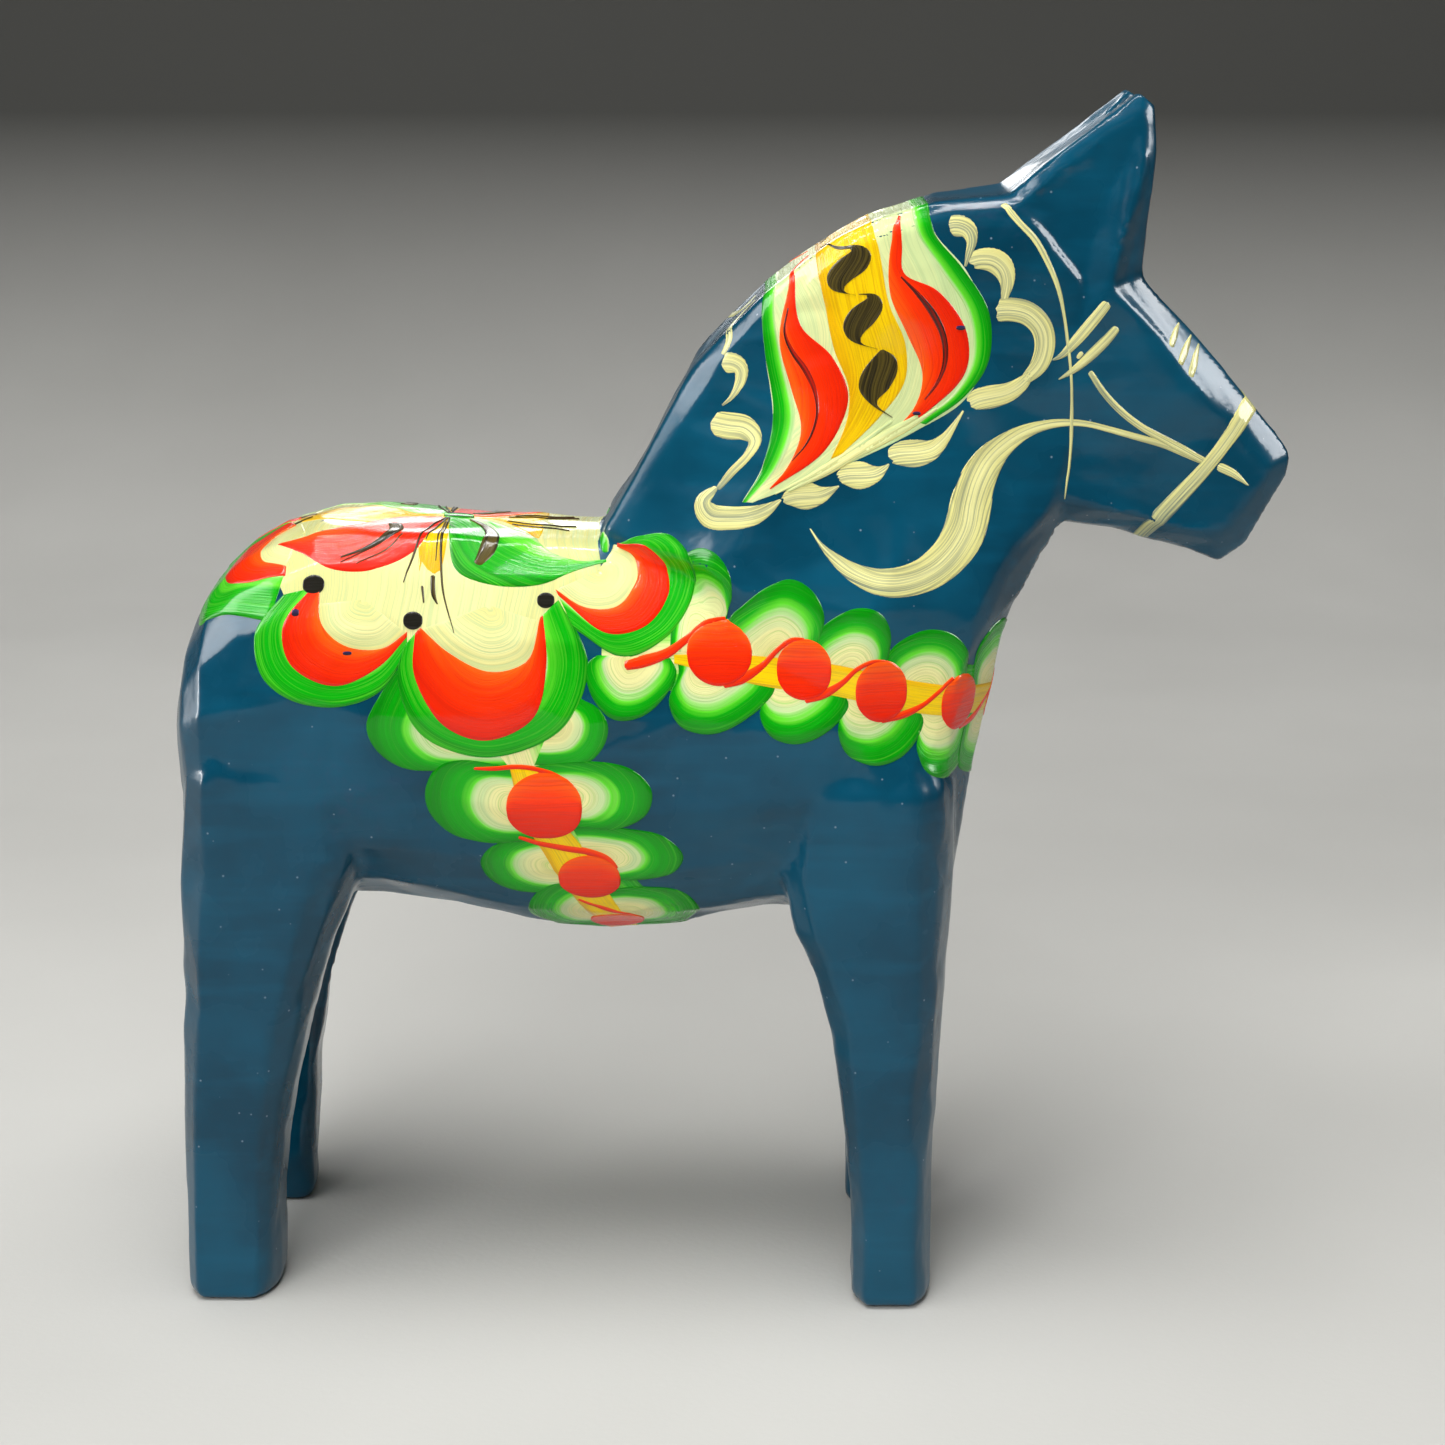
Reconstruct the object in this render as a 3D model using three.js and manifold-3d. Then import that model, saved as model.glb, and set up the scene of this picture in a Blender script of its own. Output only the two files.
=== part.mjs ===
// A carved and painted wooden horse, standing on four feet and facing +X.
//
// The blank is three pine boards glued face to face: a core board that holds the head, the neck
// and the middle of the trunk, and a side board on each flank that holds two legs and its share
// of the trunk. The glued blank is sawn to the side outline and then shaped with a knife, so every
// surface is a run of shallow flat cuts.
//
// Units are millimetres. +Z is up, X runs from tail to nose, and Y = 0 is the middle of the horse.

import * as THREE from 'three';
import { mergeVertices } from 'three/addons/utils/BufferGeometryUtils.js';
import Module from 'manifold-3d';

// Driving dimensions.
const HEIGHT = 200; // floor to ear tips
const LENGTH = 184; // back of the hind feet to the nose
const BODY_WIDTH = 60; // across the trunk at its widest
const SIDE_BOARD = 19.2; // thickness of each side board at the flank
const GLUE_GAP = 0.3; // glue line between two boards
const HIND_LEAN = 1.7; // how far a hind leg's outer face leans in by the floor
const FRONT_LEAN = 0.3; // and a front leg's
const INNER_LEAN = 1.9; // how far a leg's inner face leans out by the floor
const NECK_BASE_WIDTH = 56; // across the neck where it leaves the shoulders
const NECK_TOP_WIDTH = 31; // across the neck behind the ears
const CHEEK_WIDTH = 28; // across the head at the jaw
const MUZZLE_WIDTH = 19.5; // across the nose
const EAR_TIP_SPREAD = 19; // across the two ear tips, outside to outside
const EAR_NOTCH_WIDTH = 8.4; // opening between the ears, at their tips
const HIND_FOOT_LENGTH = 15.4; // heel to toe
const FRONT_FOOT_LENGTH = 13.6; // heel to toe
const FOOT_EASE = 0.9; // knife bevel around a sole

// The drawing that the outlines below are written in. A different height or length stretches it.
const DRAWN_HEIGHT = 200;
const DRAWN_LENGTH = 184;
const stretchX = LENGTH / DRAWN_LENGTH;
const stretchZ = HEIGHT / DRAWN_HEIGHT;

const halfBody = BODY_WIDTH / 2;
const coreHalf = halfBody - SIDE_BOARD - GLUE_GAP; // half of the core board
const sideInner = halfBody - SIDE_BOARD; // inner face of a side board

const wasm = await Module();
wasm.setup();

// ---- Solids -------------------------------------------------------------------------------------

// A closed geometry as a solid that can be joined and cut. An inside-out one is turned first.
function solidOf(geometry) {
  const bare = geometry.clone();
  bare.deleteAttribute('normal');
  bare.deleteAttribute('uv');
  const merged = mergeVertices(bare, 1e-4);
  const corners = merged.getAttribute('position').array;
  const faces = new Uint32Array(merged.getIndex().array);
  if (signedVolume(corners, faces) < 0) {
    for (let i = 0; i < faces.length; i += 3) {
      [faces[i + 1], faces[i + 2]] = [faces[i + 2], faces[i + 1]];
    }
  }
  const mesh = new wasm.Mesh({
    numProp: 3,
    vertProperties: new Float32Array(corners),
    triVerts: faces,
  });
  return new wasm.Manifold(mesh);
}

function signedVolume(corners, faces) {
  const [a, b, c] = [new THREE.Vector3(), new THREE.Vector3(), new THREE.Vector3()];
  let volume = 0;
  for (let i = 0; i < faces.length; i += 3) {
    a.fromArray(corners, faces[i] * 3);
    b.fromArray(corners, faces[i + 1] * 3);
    c.fromArray(corners, faces[i + 2] * 3);
    volume += a.dot(b.cross(c)) / 6;
  }
  return volume;
}

// A skin over rings of the same number of corners, closed at both ends.
function skin(rings, cap) {
  const count = rings[0].length;
  const positions = rings.flat().flatMap((p) => [p.x, p.y, p.z]);
  const faces = [];
  for (let r = 0; r < rings.length - 1; r++) {
    for (let i = 0; i < count; i++) {
      const next = (i + 1) % count;
      const [a, b] = [r * count + i, r * count + next];
      const [c, d] = [a + count, b + count];
      faces.push(a, b, d, a, d, c);
    }
  }
  const last = (rings.length - 1) * count;
  for (const [a, b, c] of lid(rings[0].map(cap))) {
    faces.push(a, c, b);
  }
  for (const [a, b, c] of lid(rings.at(-1).map(cap))) {
    faces.push(last + a, last + b, last + c);
  }
  const geometry = new THREE.BufferGeometry();
  geometry.setAttribute('position', new THREE.Float32BufferAttribute(positions, 3));
  geometry.setIndex(faces);
  return geometry;
}

// The triangles that close a flat outline, turned the way that the outline runs.
function lid(outline) {
  const triangles = THREE.ShapeUtils.triangulateShape(outline, []);
  const [a, b, c] = triangles[0];
  const turn = THREE.ShapeUtils.area([outline[a], outline[b], outline[c]]);
  const same = Math.sign(turn) === Math.sign(THREE.ShapeUtils.area(outline));
  return same ? triangles : triangles.map(([i, j, k]) => [i, k, j]);
}

const sideways = (p) => new THREE.Vector2(p.x, p.z);
const endways = (p) => new THREE.Vector2(p.y, p.z);
const downwards = (p) => new THREE.Vector2(p.x, p.y);

// A value read off a table of [place, value] rows that run upwards, by straight lines between them.
function readOff(rows, place) {
  if (place <= rows[0][0]) return rows[0][1];
  for (let i = 1; i < rows.length; i++) {
    if (place <= rows[i][0]) {
      const share = (place - rows[i - 1][0]) / (rows[i][0] - rows[i - 1][0]);
      return THREE.MathUtils.lerp(rows[i - 1][1], rows[i][1], share);
    }
  }
  return rows.at(-1)[1];
}

// ---- Trunk: a barrel of knife-cut stations from the rump to the shoulders ------------------------

// [x, back, belly, share of the half width, height of the widest point]
const TRUNK_STATIONS = [
  [-91.0, 101, 80, 0.5, 92],
  [-90.2, 107.0, 73, 0.69, 93],
  [-88.6, 114.2, 69, 0.83, 95],
  [-84.6, 121.2, 67.8, 0.945, 97],
  [-79.6, 125.8, 67.4, 0.98, 98],
  [-74.0, 129.0, 67.0, 0.99, 98],
  [-67.0, 131.2, 66.8, 0.995, 98],
  [-58.0, 131.7, 66.2, 1.0, 97],
  [-46.0, 131.0, 64.2, 0.99, 96],
  [-34.0, 130.1, 61.4, 0.98, 95],
  [-21.0, 129.4, 60.0, 0.975, 94],
  [-8.0, 128.4, 60.9, 0.98, 94],
  [4.0, 126.0, 63.4, 0.985, 94],
  [16.0, 121.0, 65.0, 0.985, 95],
  [26.0, 112.0, 66.0, 0.93, 95],
];
const TRUNK_SIDES = 18;
const BACK_FULLNESS = 2.5; // 2 is an ellipse, and more is squarer
const BELLY_FULLNESS = 2.15;

function trunk() {
  const rings = TRUNK_STATIONS.map(([x, back, belly, share, widest]) => {
    const ring = [];
    for (let i = 0; i < TRUNK_SIDES; i++) {
      const angle = ((i + 0.5) / TRUNK_SIDES) * 2 * Math.PI;
      const [c, s] = [Math.cos(angle), Math.sin(angle)];
      const power = 2 / (s > 0 ? BACK_FULLNESS : BELLY_FULLNESS);
      const reach = s > 0 ? back - widest : widest - belly;
      // The corners next to the top and bottom lie on the line that they are to make.
      const fit = 1 / Math.sin(Math.PI / 2 - Math.PI / TRUNK_SIDES) ** power;
      const y = Math.sign(c) * Math.abs(c) ** power * halfBody * share;
      const z = widest + Math.sign(s) * Math.min(1, Math.abs(s) ** power * fit) * reach;
      ring.push(new THREE.Vector3(x * stretchX, y, z * stretchZ));
    }
    return ring;
  });
  return solidOf(skin(rings, endways));
}

// ---- Neck and shoulders: rungs laid across the neck, from the chest floor up to the poll ----------

// Half widths of a rung, [height of its back end, mane edge, rear half, front half, throat edge].
const NECK_WIDTHS = [
  [70, 10, halfBody * 0.9, halfBody * 0.96, halfBody * 0.88],
  [100, 10, halfBody * 0.9, halfBody * 0.975, halfBody * 0.87],
  [130, 14.6, NECK_BASE_WIDTH / 2 - 3, NECK_BASE_WIDTH / 2 - 0.5, NECK_BASE_WIDTH / 2 - 5],
  [149, 14.2, NECK_BASE_WIDTH / 2 - 7.5, NECK_BASE_WIDTH / 2 - 7.5, NECK_BASE_WIDTH / 2 - 10.5],
  [162, 13.6, NECK_TOP_WIDTH / 2 + 1, NECK_TOP_WIDTH / 2 + 1, NECK_TOP_WIDTH / 2 - 0.8],
  [176, 13.2, NECK_TOP_WIDTH / 2 - 0.6, NECK_TOP_WIDTH / 2 - 0.8, CHEEK_WIDTH / 2 - 0.4],
  [186, 12.8, NECK_TOP_WIDTH / 2 - 1.4, CHEEK_WIDTH / 2 - 0.4, CHEEK_WIDTH / 2 - 0.8],
];
const MANE_EDGE = 2.8; // how much narrower the sawn edge is than the face beside it, at the mane
const THROAT_EDGE = [[66, 10], [112, 11], [131, 6], [160, 4]]; // the same at the chest, by height
const REAR_LINE = 0.3; // how far along a rung its rear half width is taken
const FRONT_LINE = 0.64; // and its front half width

// Each rung: [x, height] on the sawn outline at the mane, then at the throat or chest, and how far
// the cut-back edge reaches in at each end. The lowest and the highest rungs end inside the wood.
const NECK_RUNGS = [
  [10.0, 72.0, 36.6, 66.6, 4.0, 5.0],
  [6.0, 84.0, 38.5, 79.0, 4.0, 6.4],
  [-2.0, 97.0, 40.1, 89.0, 4.0, 7.0],
  [-10.0, 110.0, 41.6, 98.0, 4.0, 7.4],
  [-16.0, 121.0, 43.7, 107.0, 4.0, 7.4],
  [-20.7, 130.2, 46.2, 114.5, 3.6, 7.0],
  [-15.5, 138.8, 49.0, 121.2, 3.2, 6.6],
  [-10.2, 148.8, 52.3, 127.2, 2.8, 5.6],
  [-6.2, 156.0, 54.4, 131.2, 2.8, 4.4],
  [-1.2, 161.9, 56.0, 134.0, 2.8, 4.0],
  [5.4, 168.0, 57.0, 138.0, 2.6, 4.0],
  [12.6, 173.8, 58.0, 143.0, 2.6, 4.0],
  [17.4, 177.1, 58.2, 146.0, 2.6, 4.0],
  [24.0, 180.3, 58.5, 151.0, 2.6, 4.0],
  [33.0, 182.9, 59.0, 158.0, 2.6, 4.0],
  [44.4, 184.4, 58.0, 168.0, 2.6, 4.0],
];

function neck() {
  const rings = NECK_RUNGS.map(([maneX, maneZ, chestX, chestZ, maneCut, chestCut]) => {
    const widths = [1, 2, 3, 4].map((at) => readOff(NECK_WIDTHS.map((row) => [row[0], row[at]]), maneZ));
    const [maneHalf, rearHalf, frontHalf, chestHalf] = widths;
    const length = Math.hypot(chestX - maneX, chestZ - maneZ);
    const half = [
      [0, maneHalf - MANE_EDGE],
      [maneCut / length, maneHalf],
      [REAR_LINE, rearHalf],
      [FRONT_LINE, frontHalf],
      [1 - chestCut / length, chestHalf],
      [1, chestHalf - readOff(THROAT_EDGE, chestZ)],
    ];
    const nearSide = half.map(([share, y]) => new THREE.Vector3(
      THREE.MathUtils.lerp(maneX, chestX, share) * stretchX,
      -y,
      THREE.MathUtils.lerp(maneZ, chestZ, share) * stretchZ,
    ));
    const farSide = nearSide.map((p) => new THREE.Vector3(p.x, -p.y, p.z)).reverse();
    return [...nearSide, ...farSide];
  });
  return solidOf(skin(rings, downwards));
}

// ---- Head: one sawn slab with its edges cut back --------------------------------------------------

// Half width of the head's flat face, by height up the ears and by distance forward of the throat.
const EAR_FACE = [[160, CHEEK_WIDTH / 2], [184, CHEEK_WIDTH / 2 - 0.6], [200, EAR_TIP_SPREAD / 2]];
const HEAD_FACE = [[58, CHEEK_WIDTH / 2], [91, MUZZLE_WIDTH / 2]];

const EAR_TIP = [64.6, 200.0]; // on the sawn outline

// Each corner of the slab: its place on the sawn outline, its place on the flat face, and how much
// narrower the outline is than the face there. The last three corners lie inside the neck.
const HEAD_CORNERS = [
  // ears
  [44.4, 184.4, 45.0, 181.6, 2.8],
  [...EAR_TIP, 64.2, 196.8, 2.0],
  [67.0, 197.8, 65.0, 195.6, 2.0],
  [67.5, 190.4, 65.4, 189.2, 2.4],
  [67.0, 184.0, 63.8, 182.8, 3.0],
  [66.5, 177.0, 61.8, 176.8, 4.2],
  [66.2, 171.2, 60.4, 169.6, 5.2],
  // nose bridge
  [72.8, 164.0, 68.0, 162.0, 5.4],
  [78.5, 157.6, 72.8, 155.8, 5.2],
  [83.8, 151.8, 77.8, 150.4, 4.8],
  [89.2, 146.1, 83.6, 144.8, 4.0],
  // muzzle
  [91.5, 141.6, 86.9, 141.6, 3.2],
  [91.2, 139.2, 86.6, 139.0, 3.2],
  [84.8, 127.2, 80.6, 130.8, 4.4],
  [80.6, 124.0, 77.6, 130.0, 5.2],
  // jaw
  [72.3, 126.8, 70.6, 131.6, 5.2],
  [62.0, 130.0, 61.2, 133.8, 4.4],
  [54.0, 131.2, 53.0, 135.4, 4.0],
  // inside the neck
  [46.0, 138.0, 47.0, 142.0, 3.0],
  [38.0, 158.0, 40.0, 158.0, 3.0],
  [37.0, 176.0, 39.0, 175.0, 3.0],
];

function head() {
  const corner = (x, y, z) => new THREE.Vector3(x * stretchX, y, z * stretchZ);
  const ring = (side, onFace) => HEAD_CORNERS.map(([x, z, faceX, faceZ, narrower]) => {
    const half = Math.min(readOff(EAR_FACE, faceZ), readOff(HEAD_FACE, faceX));
    return onFace ? corner(faceX, side * half, faceZ) : corner(x, side * (half - narrower), z);
  });
  const rings = [ring(-1, true), ring(-1, false), ring(1, false), ring(1, true)];
  return solidOf(skin(rings, sideways));
}

// The V between the ears, cut down the front of the head from just behind the tips, so that the
// back of the head stays whole.
const NOTCH_START = [58.2, 201.0]; // [x, height] of the V's bottom above the back of the ears
const NOTCH_END = [73.2, 171.5]; // and in front of the forehead
const NOTCH_FLOOR = 2.4; // width of the V's blunt bottom

function earNotch() {
  const overhang = 8; // how far the cutter reaches past the wood
  const [start, end] = [NOTCH_START, NOTCH_END];
  const bottomAt = (x) => start[1] + ((end[1] - start[1]) / (end[0] - start[0])) * (x - start[0]);
  const top = DRAWN_HEIGHT + overhang;
  const flare = (EAR_NOTCH_WIDTH - NOTCH_FLOOR) / 2 / (EAR_TIP[1] - bottomAt(EAR_TIP[0]));
  const section = (x) => {
    const bottom = bottomAt(x);
    const wide = NOTCH_FLOOR / 2 + flare * (top - bottom);
    return [[-wide, top], [-NOTCH_FLOOR / 2, bottom], [NOTCH_FLOOR / 2, bottom], [wide, top]]
      .map(([y, z]) => new THREE.Vector3(x * stretchX, y, z * stretchZ));
  };
  return solidOf(skin([section(start[0]), section(end[0] + overhang)], endways));
}

// ---- Legs: tapering posts on the side boards, squared by the saw and eased at the corners --------

// [height, back edge, front edge] of a leg, seen from the side. The lowest row is the sole, and the
// highest ends inside the wood. A foot keeps its own length however long the horse is.
const HIND_LEG = [
  [0, -92.0, -92.0 + HIND_FOOT_LENGTH / stretchX],
  [14, -91.8, -76.0],
  [27, -91.5, -74.8],
  [36, -91.2, -73.2],
  [46, -90.8, -70.6],
  [56, -90.4, -67.9],
  [66, -90.2, -64.0],
  [78, -89.8, -59.6],
  [92, -88.4, -60.4],
  [108, -82.0, -66.0],
];
const FRONT_LEG = [
  [0, 34.6 - FRONT_FOOT_LENGTH / stretchX, 34.6],
  [14, 20.9, 34.5],
  [27, 20.0, 34.7],
  [38, 18.6, 35.1],
  [48, 17.2, 35.8],
  [58, 14.4, 36.3],
  [66, 10.8, 36.8],
  [76, 8.8, 37.2],
  [90, 10.0, 37.4],
  [104, 16.0, 34.0],
];
const LEG_STANDS_IN = 0.5; // a leg's outer face lies this far inside the flank's widest line
const LEG_ROOT_INSET = 5; // and the buried top of the leg this much further
const SOLE_BEVEL = 1.4; // height of the bevel above the sole

// How far the knife takes each corner of a leg down, as a share of the leg's length or depth.
const HEEL_CUT = 0.16; // along the outer back corner
const TOE_CUT = 0.24; // and along the outer front corner, which is cut twice
const HEEL_DEPTH = 0.26;
const TOE_DEPTH = 0.42;
const TOE_SECOND_CUT = 0.35; // of the toe cut
const TOE_SECOND_DEPTH = 0.16;
const INNER_CUT = 0.4; // of the outer cut
const INNER_DEPTH = 0.12;

function leg(rows, outerLean, side) {
  const root = rows.length;
  const shoulder = rows.at(-2)[0];
  const bevel = [SOLE_BEVEL / stretchZ, rows[0][1], rows[0][2]];
  const rings = [rows[0], bevel, ...rows.slice(1)].map(([height, rear, fore], index) => {
    const ease = index === 0 ? FOOT_EASE : 0;
    const sink = index === root ? LEG_ROOT_INSET : 0;
    const down = Math.max(0, 1 - height / shoulder);
    const outer = halfBody - LEG_STANDS_IN - outerLean * down - ease - sink;
    const inner = sideInner + INNER_LEAN * down + ease;
    const depth = outer - inner;
    const [back, front] = [rear * stretchX + ease, fore * stretchX - ease];
    const heelCut = HEEL_CUT * (front - back);
    const toeCut = TOE_CUT * (front - back);
    const corners = [
      [back + heelCut, outer],
      [back, outer - HEEL_DEPTH * depth],
      [back, inner + INNER_DEPTH * depth],
      [back + INNER_CUT * heelCut, inner],
      [front - INNER_CUT * toeCut, inner],
      [front, inner + INNER_DEPTH * depth],
      [front, outer - TOE_DEPTH * depth],
      [front - TOE_SECOND_CUT * toeCut, outer - TOE_SECOND_DEPTH * depth],
      [front - toeCut, outer],
    ];
    return corners.map(([x, y]) => new THREE.Vector3(x, side * y, height * stretchZ));
  });
  return solidOf(skin(rings, downwards));
}

// ---- The carved horse, and the boards that it is glued up from ------------------------------------

const RIGHT = -1; // the horse's own right, on the -Y side
const LEFT = 1;

let horse = trunk().add(neck()).add(head().subtract(earNotch()));
for (const side of [RIGHT, LEFT]) {
  horse = horse.add(leg(HIND_LEG, HIND_LEAN, side)).add(leg(FRONT_LEG, FRONT_LEAN, side));
}

// A slab of space between two Y planes, longer and taller than the horse.
function between(yFrom, yTo) {
  const [length, height] = [LENGTH * 2, HEIGHT * 2];
  const box = new THREE.BoxGeometry(length, yTo - yFrom, height);
  box.translate(0, (yFrom + yTo) / 2, height / 2 - HEIGHT / 2);
  return solidOf(box);
}

// The horse stands on Z = 0 with the middle of its length at X = 0.
const { min, max } = horse.boundingBox();
horse = horse.translate([-(min[0] + max[0]) / 2, 0, -min[2]]);

const boards = {
  core_board: horse.intersect(between(-coreHalf, coreHalf)),
  right_side_board: horse.intersect(between(-BODY_WIDTH, -sideInner)),
  left_side_board: horse.intersect(between(sideInner, BODY_WIDTH)),
};

// ---- Scene ----------------------------------------------------------------------------------------

const paintedPine = new THREE.MeshStandardMaterial({ color: 0x064a63, roughness: 0.3, metalness: 0 });
paintedPine.name = 'painted_pine';

const dalaHorse = new THREE.Group();
for (const [name, board] of Object.entries(boards)) {
  const { vertProperties, triVerts } = board.getMesh();
  const geometry = new THREE.BufferGeometry();
  geometry.setAttribute('position', new THREE.BufferAttribute(vertProperties, 3));
  geometry.setIndex(new THREE.BufferAttribute(triVerts, 1));
  geometry.computeVertexNormals();
  const mesh = new THREE.Mesh(geometry, paintedPine);
  mesh.name = name;
  dalaHorse.add(mesh);
}

export default dalaHorse;
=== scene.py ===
import math

import bpy
import numpy as np
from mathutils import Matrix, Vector, noise
from mathutils.bvhtree import BVHTree


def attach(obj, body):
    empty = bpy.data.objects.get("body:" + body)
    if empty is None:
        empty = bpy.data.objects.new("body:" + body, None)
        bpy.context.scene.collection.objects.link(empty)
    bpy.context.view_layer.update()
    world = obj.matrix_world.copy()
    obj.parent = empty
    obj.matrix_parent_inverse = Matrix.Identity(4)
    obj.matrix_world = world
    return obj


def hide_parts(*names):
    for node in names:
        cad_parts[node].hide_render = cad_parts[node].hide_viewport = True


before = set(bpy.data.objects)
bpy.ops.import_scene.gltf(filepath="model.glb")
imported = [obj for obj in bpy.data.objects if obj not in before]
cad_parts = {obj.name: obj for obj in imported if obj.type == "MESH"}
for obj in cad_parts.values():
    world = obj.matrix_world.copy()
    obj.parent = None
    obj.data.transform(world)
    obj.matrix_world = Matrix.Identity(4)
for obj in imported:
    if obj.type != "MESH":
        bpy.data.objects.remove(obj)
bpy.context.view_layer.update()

# Everything about the painting is in millimetres, in the frame of the model: the horse looks along +X,
# its right side faces -Y and the ground is Z = 0. Meshes are scaled to metres when they are made.
MM = 0.001
RIGHT, LEFT = -1, 1
BOARDS = ("core_board", "right_side_board", "left_side_board")

# Body surface.
VOXEL = 0.82
GLUE_OVERLAP = 0.6
GLUE_FACE_TOLERANCE = 0.02
SMOOTHING_IN, SMOOTHING_OUT = 0.55, -0.57
SHARPNESS, EXTRA_SHARPNESS = 0.3, 0.6
CHEEK_SEAM_X, CHEEK_SEAM_Z = 48, 162
LEG_TOP = 72
HEAD_START = 50
WITHERS_X, WITHERS_Z = -22, 128
KNIFE_CUTS = 520
LIMB_REACH, FLANK_REACH = (8, 15), (11, 20)
LIMB_DEPTH, FLANK_DEPTH = (0.08, 0.3), (0.07, 0.26)
BLADE_TILT = 0.05
BLADE_FACING = 0.82
DEEPEST_PARE = 2.2
DENTS = 90
DENT_SIZE, DENT_DEPTH = (0.9, 2.4), (0.05, 0.14)
WAVE_PITCH, WAVE_HEIGHT = 0.055, 0.11
BODY_SEED = 7

# Paint films: what one film adds, how far a film's rim dips under the surface, its buried underside, the
# width of its rim and the spacing of its points. Then how a film turns, ends, dries out and streaks.
FILM = 0.05
RIM_DIP = 0.035
UNDERSIDE = 0.16
RIM_WIDTH = 0.24
GRID = 0.7
LOBE_CORE = (0.4, 0.6)
LOBE_LIFT = 0.22
HEART_CORE, HEART_REACH = 0.04, 1.12
RIM_SHARE, END_SHARE = 0.25, 0.2
DRY_FADE = 2.5
BROAD_STREAKS, FINE_STREAKS = (0.025, 0.75, 1), (0.05, 3.8, 1)
STROKE_ROUNDING, DISC_ROUNDING = 0.8, 0.9

rng = np.random.default_rng(BODY_SEED)


def unit(v):
    return v / np.maximum(np.linalg.norm(v, axis=-1, keepdims=True), 1e-12)


# --- body


def boards_as_one():
    """The three boards in one mesh, with the side boards pushed a little into the core."""
    verts, faces = [], []
    for name in BOARDS:
        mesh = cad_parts[name].data
        co = np.array([v.co for v in mesh.vertices]) / MM
        if name != "core_board":
            inner = np.abs(co[:, 1]).min()
            at_glue = np.abs(co[:, 1]) < inner + GLUE_FACE_TOLERANCE
            co[at_glue, 1] *= (inner - GLUE_OVERLAP) / inner
        faces += [[i + len(verts) for i in p.vertices] for p in mesh.polygons]
        verts += co.tolist()
    mesh = bpy.data.meshes.new("boards")
    mesh.from_pydata(verts, [], faces)
    return mesh


def remeshed(mesh, size):
    """Quads of about that size over the outside of a closed mesh: corners, quads."""
    rough = bpy.data.objects.new("rough", mesh)
    bpy.context.scene.collection.objects.link(rough)
    cut = rough.modifiers.new("cut", "REMESH")
    cut.mode = "VOXEL"
    cut.voxel_size = size
    graph = bpy.context.evaluated_depsgraph_get()
    done = bpy.data.meshes.new_from_object(rough.evaluated_get(graph))
    bpy.data.objects.remove(rough)
    co = np.empty(len(done.vertices) * 3)
    done.vertices.foreach_get("co", co)
    quads = np.array([list(p.vertices) for p in done.polygons if len(p.vertices) == 4])
    return outer_shell(co.reshape(-1, 3), quads)


def outer_shell(co, quads):
    """Only the largest connected part."""
    label = np.arange(len(co))
    while True:
        lowest = label[quads].min(1)
        before = label.copy()
        for k in range(4):
            np.minimum.at(label, quads[:, k], lowest)
        label = label[label]
        if (label == before).all():
            break
    main = np.bincount(label).argmax()
    keep = label == main
    place = np.cumsum(keep) - 1
    return co[keep], place[quads[keep[quads[:, 0]]]]


def pulled_back(co, target, share):
    """Each point moves by its share of the way to the target surface."""
    spots = np.array([target.find_nearest(p)[0] for p in co.tolist()])
    return co + (spots - co) * share[:, None]


def edges_of(quads):
    pairs = np.vstack([quads[:, [k, (k + 1) % 4]] for k in range(4)])
    pairs.sort(axis=1)
    return np.unique(pairs, axis=0)


def relaxed(co, edges, rounds, weight):
    """Each point moves by weight towards the mean of its neighbours."""
    a, b = edges.T
    count = np.bincount(edges.ravel(), minlength=len(co))
    for _ in range(rounds):
        mean = np.empty_like(co)
        for k in range(3):
            total = np.bincount(a, co[b, k], len(co)) + np.bincount(b, co[a, k], len(co))
            mean[:, k] = total / count
        co = co + weight * (mean - co)
    return co


def smoothed(co, edges, rounds):
    """Smoothing that keeps the volume: a step in and a slightly larger step out."""
    for _ in range(rounds):
        co = relaxed(co, edges, 1, SMOOTHING_IN)
        co = relaxed(co, edges, 1, SMOOTHING_OUT)
    return co


def normals_of(co, quads):
    diagonal_a = co[quads[:, 2]] - co[quads[:, 0]]
    diagonal_b = co[quads[:, 3]] - co[quads[:, 1]]
    face = np.cross(diagonal_a, diagonal_b)
    total = np.zeros_like(co)
    for corner in range(4):
        for k in range(3):
            total[:, k] += np.bincount(quads[:, corner], face[:, k], len(co))
    return unit(total)


def knife_cut(co, normals, seed, reach, depth, tilt):
    """A flat facet pared off around one point. The blade leans by tilt, and stops at reach."""
    blade = unit(normals[seed] + tilt)
    offset = co - co[seed]
    near = (offset * offset).sum(1) < reach * reach
    near &= normals @ blade > BLADE_FACING
    away = np.linalg.norm(offset[near], axis=1) / reach
    proud = offset[near] @ blade + depth
    most = DEEPEST_PARE * depth * (1 - away * away)
    co[near] -= np.clip(proud, 0, most)[:, None] * blade


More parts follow.
